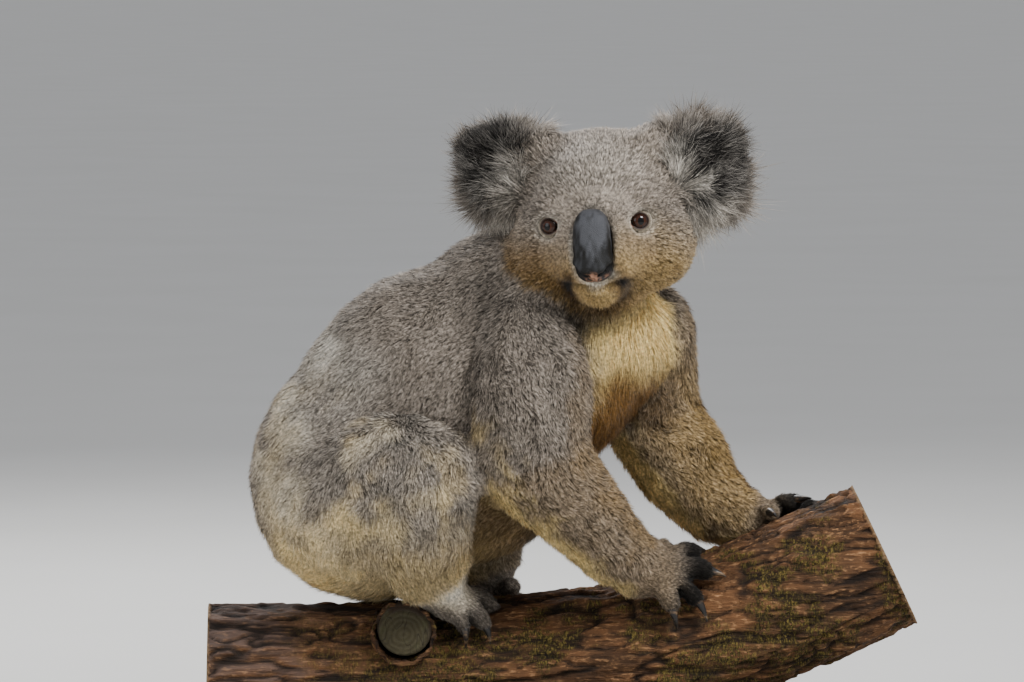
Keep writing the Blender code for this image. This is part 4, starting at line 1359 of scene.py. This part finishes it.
# %% Shape the nose
NOSE_LEAN = math.radians(12)  # its front leans back from upright
NOSTRIL = ((6.0, 0, -20.5), (9.4, 0, -18.6), (12.0, 0, -14.5))
WING = ((4.5, 0, -15.0), (9.0, 0, -13.0), (13.0, 0, -10.0))  # the swelling above a nostril
nose_points, nose_faces = remeshed(*welded("nose"), 0.0007)
nose_points = smoothed(nose_points, edges_of(nose_faces), 14, 0.5)
cosine, sine = math.cos(NOSE_LEAN), math.sin(NOSE_LEAN)
lean = np.array([[1, 0, 0], [0, cosine, -sine], [0, sine, cosine]])
local = (in_head(nose_points) - nose_at) @ lean
left, height = local[:, 0], local[:, 2]
wider = 1.6 * np.sign(left) * ramp(-height, 2, 16) * ramp(np.abs(left), 4, 11)
nose_points = nose_points + (wider / 1000)[:, None] * turn[:, 0]

outs = normals_of(nose_points, nose_faces)
front = ramp(-(outs @ turn)[:, 1], -0.2, 0.3)
seen = one_half(local) * (1, 0, 1)
pit = valley(seen, NOSTRIL, 2.5) * front
wing = valley(seen, WING, 3.0) * front
groove = np.exp(-((left / 1.3) ** 2)) * ramp(-height, 10, 16) * front
dimple = lumps(nose_points, 0.006, 8) - 0.5
relief = -4.4 * pit + 0.9 * wing - 0.6 * groove + 0.3 * dimple
nose_points = nose_points + outs * (relief / 1000)[:, None]
print("nose", len(nose_faces), "triangles, nostrils over", int((pit > 0.5).sum()), "points")

# %% [markdown]
# ## Nose leather
# The leather gets a painted sheen, paler down the middle and at its top in upright streaks, and painted
# shade, darker at its sides and low down. It shines a little more where it is smooth. Its fine pebbles are
# too small to model, so they are bump, made from the distance to the nearest of many scattered points.

# %% The nose leather
rosy = near(local * (1, 0, 1), (1.5, 0, -21.5), (13, 1, 7.5), 0.25) * front * (1 - pit)
# Painted light and shade: paler down the middle and at the top as painted sheen, darker at the sides and
# low down.
paler = 0.75 - 0.5 * ramp(np.abs(left - 2), 6, 15)
paler = paler - 0.6 * ramp(-height, -8, 14) + 0.25 * ramp(height, 4, 18)
streaks = 0.6 * lumps(nose_points * (1, 1, 0.4), 0.005, 9)
streaks = streaks + 0.4 * lumps(nose_points * (1, 1, 0.5), 0.0022, 10)
worn = np.clip(paler + 2.4 * (streaks - 0.5), 0, 1)

leather = Finish("nose leather", Specular_IOR_Level=0.2)
scuff = leather.speckle(140, 4)
pebble = leather.node("ShaderNodeTexVoronoi", {}, {"Vector": leather.place(), "Scale": 1500})
# The slate is paler where the painted sheen is strong.
slate = leather.blend(leather.stored("worn") * 0.8 + 0.5 * (scuff - 0.4), tone(13, 12, 9), tone(72, 73, 77))
mottled = leather.stored("rosy") * leather.speckle(330, 4).step(0.40, 0.60)
# Painted shade: the nostril pits are painted near black for the shade inside the open nostrils.
nostril = leather.stored("pit").step(0.25, 0.7)
leather.feed(Base_Color=leather.layered(slate, (mottled, tone(172, 128, 104)), (nostril, tone(10, 8, 7))),
             Roughness=0.30 + 0.28 * scuff)
leather.bump(pebble.held() + 0.4 * scuff, 0.0006, 0.6)
nose = as_object("nose_leather", nose_points, nose_faces, leather, rosy=rosy, pit=pit, worn=worn)
settled(nose, "nose_leather", "nose")
print("nose leather ready")

# %% [markdown]
# ## Claws
# The claws are curved horn, black with a browner ridge and a slight shine. The frame's claws have the right
# shape but few faces, so each is swollen a little at its root, where it grows out of the fur, rounded by a
# subdivision modifier, and given a finish with fine lines along the horn.

# %% Claws
horn = Finish("claw horn", Specular_IOR_Level=0.4, Coat_Weight=0.12, Coat_Roughness=0.25)
streak = horn.speckle(240, 3, stretch=(0.25, 1, 1))
horn.feed(Base_Color=horn.blend(streak.step(0.48, 0.72), tone(22, 19, 17), tone(104, 82, 58)),
          Roughness=0.34 + 0.25 * streak)
horn.bump(streak, 0.0004, 0.5)
ROOT_SWELL = 0.0021
for node in claw_nodes():
    points, triangles = welded(node)
    limb, side = node.split("_")[1:3]
    far = np.linalg.norm(points - middle(f"{limb}_{side}"), axis=1)
    swell = ROOT_SWELL * (1 - ramp(far, far.min(), far.max()))
    points = points + normals_of(points, triangles) * swell[:, None]
    claw = as_object(node.replace("claw_", "horn_"), points, triangles, horn)
    rounded = claw.modifiers.new("rounded", "SUBSURF")
    rounded.levels = rounded.render_levels = 2
    settled(claw, "claw", node)
print(len(claw_nodes()), "claws ready")

# %% [markdown]
# ## The branch
# The perch is a length of old limb, thick as a forearm, with rough brown bark in long plates and dark
# cracks between them. The plates are real relief: the branch is remeshed, and cracks are pressed into it
# along its length, inwards only, so that the paws still rest on it. The cracks follow the ridges of
# stretched lumps, bent by a slow warp so that they never run straight. The two sawn ends stay flat, so they
# are found first.

# %% Bark relief
bark_points, bark_faces = remeshed(*welded("perch_branch"), 0.0024)
bark_outs = normals_of(bark_points, bark_faces)
low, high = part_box("perch_branch")
bark_x = bark_points[:, 0]
along_share = (bark_x - low.x) / (high.x - low.x)
stations = np.linspace(low.x, high.x, 24)
middles = np.array([bark_points[np.abs(bark_x - place) < 0.014].mean(0) for place in stations])
from_spine = bark_points - np.stack([np.interp(bark_x, stations, column) for column in middles.T], 1)

cut_end = np.zeros(len(bark_points))
for end, limit in ((-1, 0.12), (1, 0.88)):
    flat = ((along_share - limit) * end > 0) & (bark_outs[:, 0] * end > 0.75)
    way = unit(bark_outs[flat].mean(0))
    beyond = (bark_points @ way - np.median(bark_points[flat] @ way)) * 1000
    cut_end = np.maximum(cut_end, ramp(beyond, -2.6, -0.8) * ramp(bark_outs @ way, 0.5, 0.8))

WARP = 0.016
SLANT = np.array([[0.17, 0.30, -0.26], [0.05, 0.82, 0.57], [-0.04, -0.57, 0.82]])  # long, slanted plates
warp = np.stack([lumps(bark_points, 0.03, seed) - 0.5 for seed in (20, 21, 22)], 1) * WARP
stretched = (bark_points + warp) @ SLANT.T
ridges, small_ridges = (1 - np.abs(2 * lumps(stretched, size, seed) - 1)
                        for size, seed in ((0.0068, 21), (0.0042, 22)))
cracks = ramp(ridges, 0.66, 0.99)
hollows = ramp(lumps(bark_points, 0.05, 23), 0.55, 0.9)
flakes = ramp(lumps(stretched @ SLANT[[0, 2, 1]].T * (3, 1, 1), 0.006, 27), 0.35, 0.65)
relief = (-3.4 * cracks - 1.3 * small_ridges * (1 - cracks) - 1.3 * hollows - 1.2 * flakes
          - 0.9 * lumps(bark_points, 0.003, 24))
bark_points = bark_points + bark_outs * (relief * (1 - cut_end) / 1000)[:, None]
print("bark", len(bark_faces), "triangles, sawn ends over", int((cut_end > 0.5).sum()), "points")

# %% [markdown]
# ## Bark and moss
# The bark's brown is cloudy and flecked with paler wood. On the upper side of its left end it is greyer,
# where it has lost its skin, and that grey is also a painted highlight. The cracks are painted nearly black
# as painted shade. Its thin plates and fibres darken the colour as well as roughen it, partly as the bark's
# own tone and partly as painted shade, which gives depth that a bump alone would not show. Moss grows in
# tufts on the side that faces the viewer, so it is a mask on the mesh, broken up by noise in the finish.

# %% Bark colour
outs = normals_of(bark_points, bark_faces)
moss_cloud = lumps(bark_points, 0.035, 25) * 0.6 + lumps(bark_points, 0.010, 26) * 0.4
moss = ramp(-outs[:, 1] - 0.35 * outs[:, 2] + (moss_cloud - 0.5) * 5.0, 0.6, 1.5) * (1 - cut_end)
moss *= ramp(bark_points[:, 0], -0.22, -0.05)
# Grey, weathered bark on the upper side of the left end, which is also a painted highlight on top.
bare = 1 - ramp(bark_points[:, 0] + (moss_cloud - 0.5) * 0.12, -0.19, -0.11)
bare *= ramp(outs[:, 2], -0.3, 0.5)

bark = Finish("bark", Specular_IOR_Level=0.25)
fleck = bark.speckle(420, 4, stretch=(0.35, 1, 1))
patch = bark.speckle(28, 4)
plates = bark.speckle(130, 3, 0.6, stretch=(0.12, 1, 1)).step(0.40, 0.50)
fibre = bark.speckle(300, 5, 0.7, stretch=(0.08, 1, 1))
tuft = bark.speckle(480, 4, 0.7, stretch=(1.6, 1, 0.5))
moss_here = bark.stored("moss") * bark.speckle(300, 4, 0.7).step(0.42, 0.54)
bark_colour = bark.layered(
    bark.blend(patch.step(0.35, 0.65), tone(78, 54, 34), tone(110, 75, 47)),
    (fleck.step(0.5, 0.75) * 0.8, tone(176, 132, 92)),
    (bark.stored("bare") * 0.6, tone(92, 80, 76)),
    # Painted shade: the cracks are painted nearly black for the shade deep in them.
    (bark.stored("cracks") * 0.92, tone(20, 15, 11)),
    (moss_here, bark.blend(tuft.step(0.42, 0.66), tone(50, 42, 17), tone(128, 110, 54))),
)
# Partly painted shade: the plates and fibres darken the bark for depth, besides varying its own tone.
bark_colour = bark.shade(bark_colour, (0.55 + 0.45 * plates) * (0.20 + 1.6 * fibre))
print("moss on", int((moss > 0.5).sum()), "points")

# %% [markdown]
# ## Sawn wood
# The two ends of the branch are sawn. They show darker heartwood, year rings about a pith that lies a
# little off the middle, and drying cracks that run outwards from it. Each point stores how far it is from
# the pith and in which direction. The rings are a wave of the distance. The cracks are noise that only the
# direction changes.

# %% Sawn ends, and the whole log
pith = from_spine + (0, 0.006, -0.004)
rings = np.linalg.norm(pith * (0, 1, 1.08), axis=1) * 1000
RINGS_PER_MM = 1.5
reach = bark.stored("rings")
year = ((reach + 14 * patch) * RINGS_PER_MM).wave()
heartwood = bark.blend(year * 0.5, tone(124, 92, 62), tone(92, 66, 44))
way_out = {0: bark.stored("pith_y") / reach * 9, 1: bark.stored("pith_z") / reach * 9}
spoke = {"Vector": bark.node("ShaderNodeCombineXYZ", {}, way_out), "Scale": 1.0, "Detail": 3.0}
drying = bark.node("ShaderNodeTexNoise", {"noise_dimensions": "2D"}, spoke)
wood = bark.layered(
    bark.blend(year * (0.2 + 0.9 * bark.speckle(70)), tone(154, 126, 92), tone(108, 82, 56)),
    (1 - reach.step(5, 30), heartwood),
    (drying.step(0.62, 0.69) * reach.step(10, 30) * 0.65, tone(62, 46, 34)),
    (bark.speckle(700, 3).step(0.5, 0.8) * 0.3, tone(178, 154, 120)),
)
bark.feed(Base_Color=bark.blend(bark.stored("cut_end"), bark_colour, wood), Roughness=0.72 + 0.2 * fleck)
fine = bark.stored("moss") * tuft * 1.2 + fleck * 0.4 + bark.speckle(1400, 3) * 0.2
bark.bump(plates * 0.4 + fibre + fine, 0.0030, 0.9)
log = as_object("bark_log", bark_points, bark_faces, bark, cracks=cracks * (1 - cut_end), moss=moss,
                bare=bare, cut_end=cut_end, rings=rings, pith_y=pith[:, 1] * 1000, pith_z=pith[:, 2] * 1000)
settled(log, "bark", "perch_branch")
print("sawn wood ready")

# %% [markdown]
# ## Stump of a side branch
# On the near side a side branch was cut off long ago. What is left is a weathered, olive-grey disc with
# year rings and fine cracks. It is built on the frame's own cylinder, and its edge is dark where the bark
# begins.

# %% Stump disc
stump_points, stump_faces = remeshed(*welded("perch_knot"), 0.0016)
stump_points = smoothed(stump_points, edges_of(stump_faces), 3)
stump_face = middle("perch_knot") - (0, 0, 0.002)
stump_face[1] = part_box("perch_knot")[0].y
from_middle = np.linalg.norm((stump_points - stump_face) * (1, 0, 1.06), axis=1) * 1000
stump = Finish("stump wood", Specular_IOR_Level=0.25)
year = ((stump.stored("rings") + 9 * stump.speckle(45)) * RINGS_PER_MM).wave()
crack = 1 - (stump.speckle(75, 2, stretch=(1, 1, 0.35)) - 0.5).size().step(0.0, 0.012)
stump.feed(Base_Color=stump.layered(
    stump.blend(year * 0.16 + 0.8 * stump.speckle(240, 5), tone(72, 66, 46), tone(40, 36, 25)),
    (crack * 0.8, tone(24, 20, 14)),
    (stump.stored("rings").step(17.5, 21.5), tone(44, 34, 25)),
    (stump.speckle(90, 4).step(0.5, 0.75) * 0.5, tone(72, 72, 46)),
), Roughness=0.75 + 0.2 * year)
stump.bump(0.15 * year + 0.9 * stump.speckle(500, 5), 0.0012, 0.9)
disc = as_object("stump_disc", stump_points, stump_faces, stump, rings=from_middle)
settled(disc, "cut_wood", "perch_knot")
print("stump", len(stump_faces), "triangles")

# %% [markdown]
# ## The bark round the stump
# A tree slowly grows over such a wound, so a swollen rim of bark lies round it. The rim is a torus, made as
# a grid of rings, with lumps that push its points outwards and inwards from the middle of the stump.

# %% Rim of bark
RIM_RADIUS, RIM_TUBE, RIM_LUMPS = 0.0232, 0.0017, 0.0048
rim_middle = stump_face + (0, 0.0065, 0)
tube, around = np.meshgrid(np.linspace(0, 2 * math.pi, 15), np.linspace(0, 2 * math.pi, 72, endpoint=False),
                           indexing="ij")
way = np.stack([np.cos(around), 0 * around, np.sin(around)], -1)
section = np.cos(tube)[..., None] * way + np.sin(tube)[..., None] * np.array((0, -1.5, 0))
rim = (rim_middle + way * RIM_RADIUS + RIM_TUBE * section).reshape(-1, 3)
lumpy = lumps(rim, 0.006, 31) - 0.5 + 0.6 * (lumps(rim, 0.0025, 32) - 0.5)
rim = rim + unit(rim - rim_middle) * (lumpy * RIM_LUMPS)[:, None]
none = {name: np.zeros(len(rim)) for name in ("bare", "cut_end", "rings", "pith_y", "pith_z")}
# Painted shade: the rim is painted darker where its lumps dip in, like the bark's cracks.
callus = as_object("stump_bark_ring", rim, grid_faces(*tube.shape), bark,
                   cracks=0.3 + 0.7 * ramp(-lumpy, 0.0, 0.4), moss=ramp(lumpy, 0.0, 0.5), **none)
settled(callus, "bark")
print("rim", len(rim), "points")

# %% [markdown]
# ## Stand
# A cut branch needs something to hold it up. The stand is a plain board painted satin black, with two short
# black rods, so that nothing draws the eye from the animal. Its shapes are the frame's own, with finishes
# put on them: the board's grain still shows faintly through the paint, and the rods have a fine powder
# coat.

# %% Stand finishes
board = Finish("black painted board", Specular_IOR_Level=0.4)
grain = board.speckle(38, 5, 0.6, stretch=(0.12, 1.4, 1))
pore = board.speckle(420, 2, stretch=(0.06, 1, 1))
board.feed(Base_Color=board.blend(grain, tone(34, 32, 31), tone(50, 47, 44)), Roughness=0.34 + 0.22 * grain)
board.bump(pore + 0.5 * grain, 0.0003, 0.5)
rod = Finish("black powder coat", Specular_IOR_Level=0.4)
powder = rod.speckle(2600, 2)
rod.feed(Base_Color=rod.blend(powder, tone(30, 30, 30), tone(46, 45, 44)), Roughness=0.40 + 0.2 * powder)
rod.bump(powder, 0.0002, 0.6)
for node, finish in (("stand_base", board), ("stand_rod_rear", rod), ("stand_rod_front", rod)):
    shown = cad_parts[node].data
    shown.materials.clear()
    shown.materials.append(finish.material)
print("stand finished")

# %% [markdown]
# ## Studio
# The model stands on a pale floor in soft light: a strong lamp ahead and to the right, a wider and weaker
# one from the left, and a third behind, which catches the fringe of the ears. Each lamp is turned to the
# animal.

# %% Floor and lamps
CORNERS_OF_FLOOR = np.array([(-50, -50, 0), (50, -50, 0), (50, 50, 0), (-50, 50, 0)], float)
ANIMAL = Vector((0, 0, 0.36))
#                 place, width in metres, watts
LAMPS = {"key": ((1.3, -1.7, 2.2), 0.8, 92), "fill": ((-2.0, -1.5, 1.0), 1.5, 18),
         "rim": ((-0.6, 1.9, 1.9), 1.0, 56)}
pale = Finish("pale floor", Roughness=0.9, Specular_IOR_Level=0.1)
pale.feed(Base_Color=pale.blend(pale.speckle(3, 2), tone(205, 204, 200), tone(212, 211, 208)))
as_object("floor", CORNERS_OF_FLOOR, np.array([(0, 1, 2), (0, 2, 3)]), pale)

world = bpy.data.worlds.new("soft room")
world.use_nodes = True
sky = world.node_tree.nodes["Background"].inputs
sky["Color"].default_value, sky["Strength"].default_value = (0.93, 0.95, 1.0, 1.0), 0.62
bpy.context.scene.world = world


def put(name, data, place, way):
    """A lamp or camera at a place, turned to look one way."""
    holder = bpy.data.objects.new(name, data)
    holder.location, holder.rotation_mode = place, "QUATERNION"
    holder.rotation_quaternion = way.to_track_quat("-Z", "Y")
    bpy.context.scene.collection.objects.link(holder)
    return holder


for name, (place, size, power) in LAMPS.items():
    lamp = bpy.data.lights.new(name, "AREA")
    lamp.size, lamp.energy = size, power
    put(name, lamp, place, ANIMAL - Vector(place))
print("lamps", list(LAMPS))

# %% [markdown]
# ## Camera
# The camera looks at the koala's right side from a long way off, slightly above its seat, so that near and
# far parts show at almost the same size. The lens follows from the width of the view at that distance.

# %% Camera
VIEW_WIDTH, DISTANCE, ELEVATION = 0.79872, 5.0, math.radians(4)
SENSOR = 36  # millimetres, as wide as a film frame
AIM_ALONG, AIM_ABOVE, BARK_LEVEL = -0.00624, 0.20202, 0.180  # metres; the second is upright in the view
back = Vector((0, -math.cos(ELEVATION), math.sin(ELEVATION)))
aim = Vector((AIM_ALONG, 0, BARK_LEVEL + AIM_ABOVE / math.cos(ELEVATION)))
lens = bpy.data.cameras.new("camera")
lens.sensor_width, lens.lens, lens.clip_end = SENSOR, SENSOR * DISTANCE / VIEW_WIDTH, 100
bpy.context.scene.camera = put("camera", lens, aim + back * DISTANCE, -back)
print("camera with a lens of", round(lens.lens), "mm, after", round(time.time() - started, 1), "s")
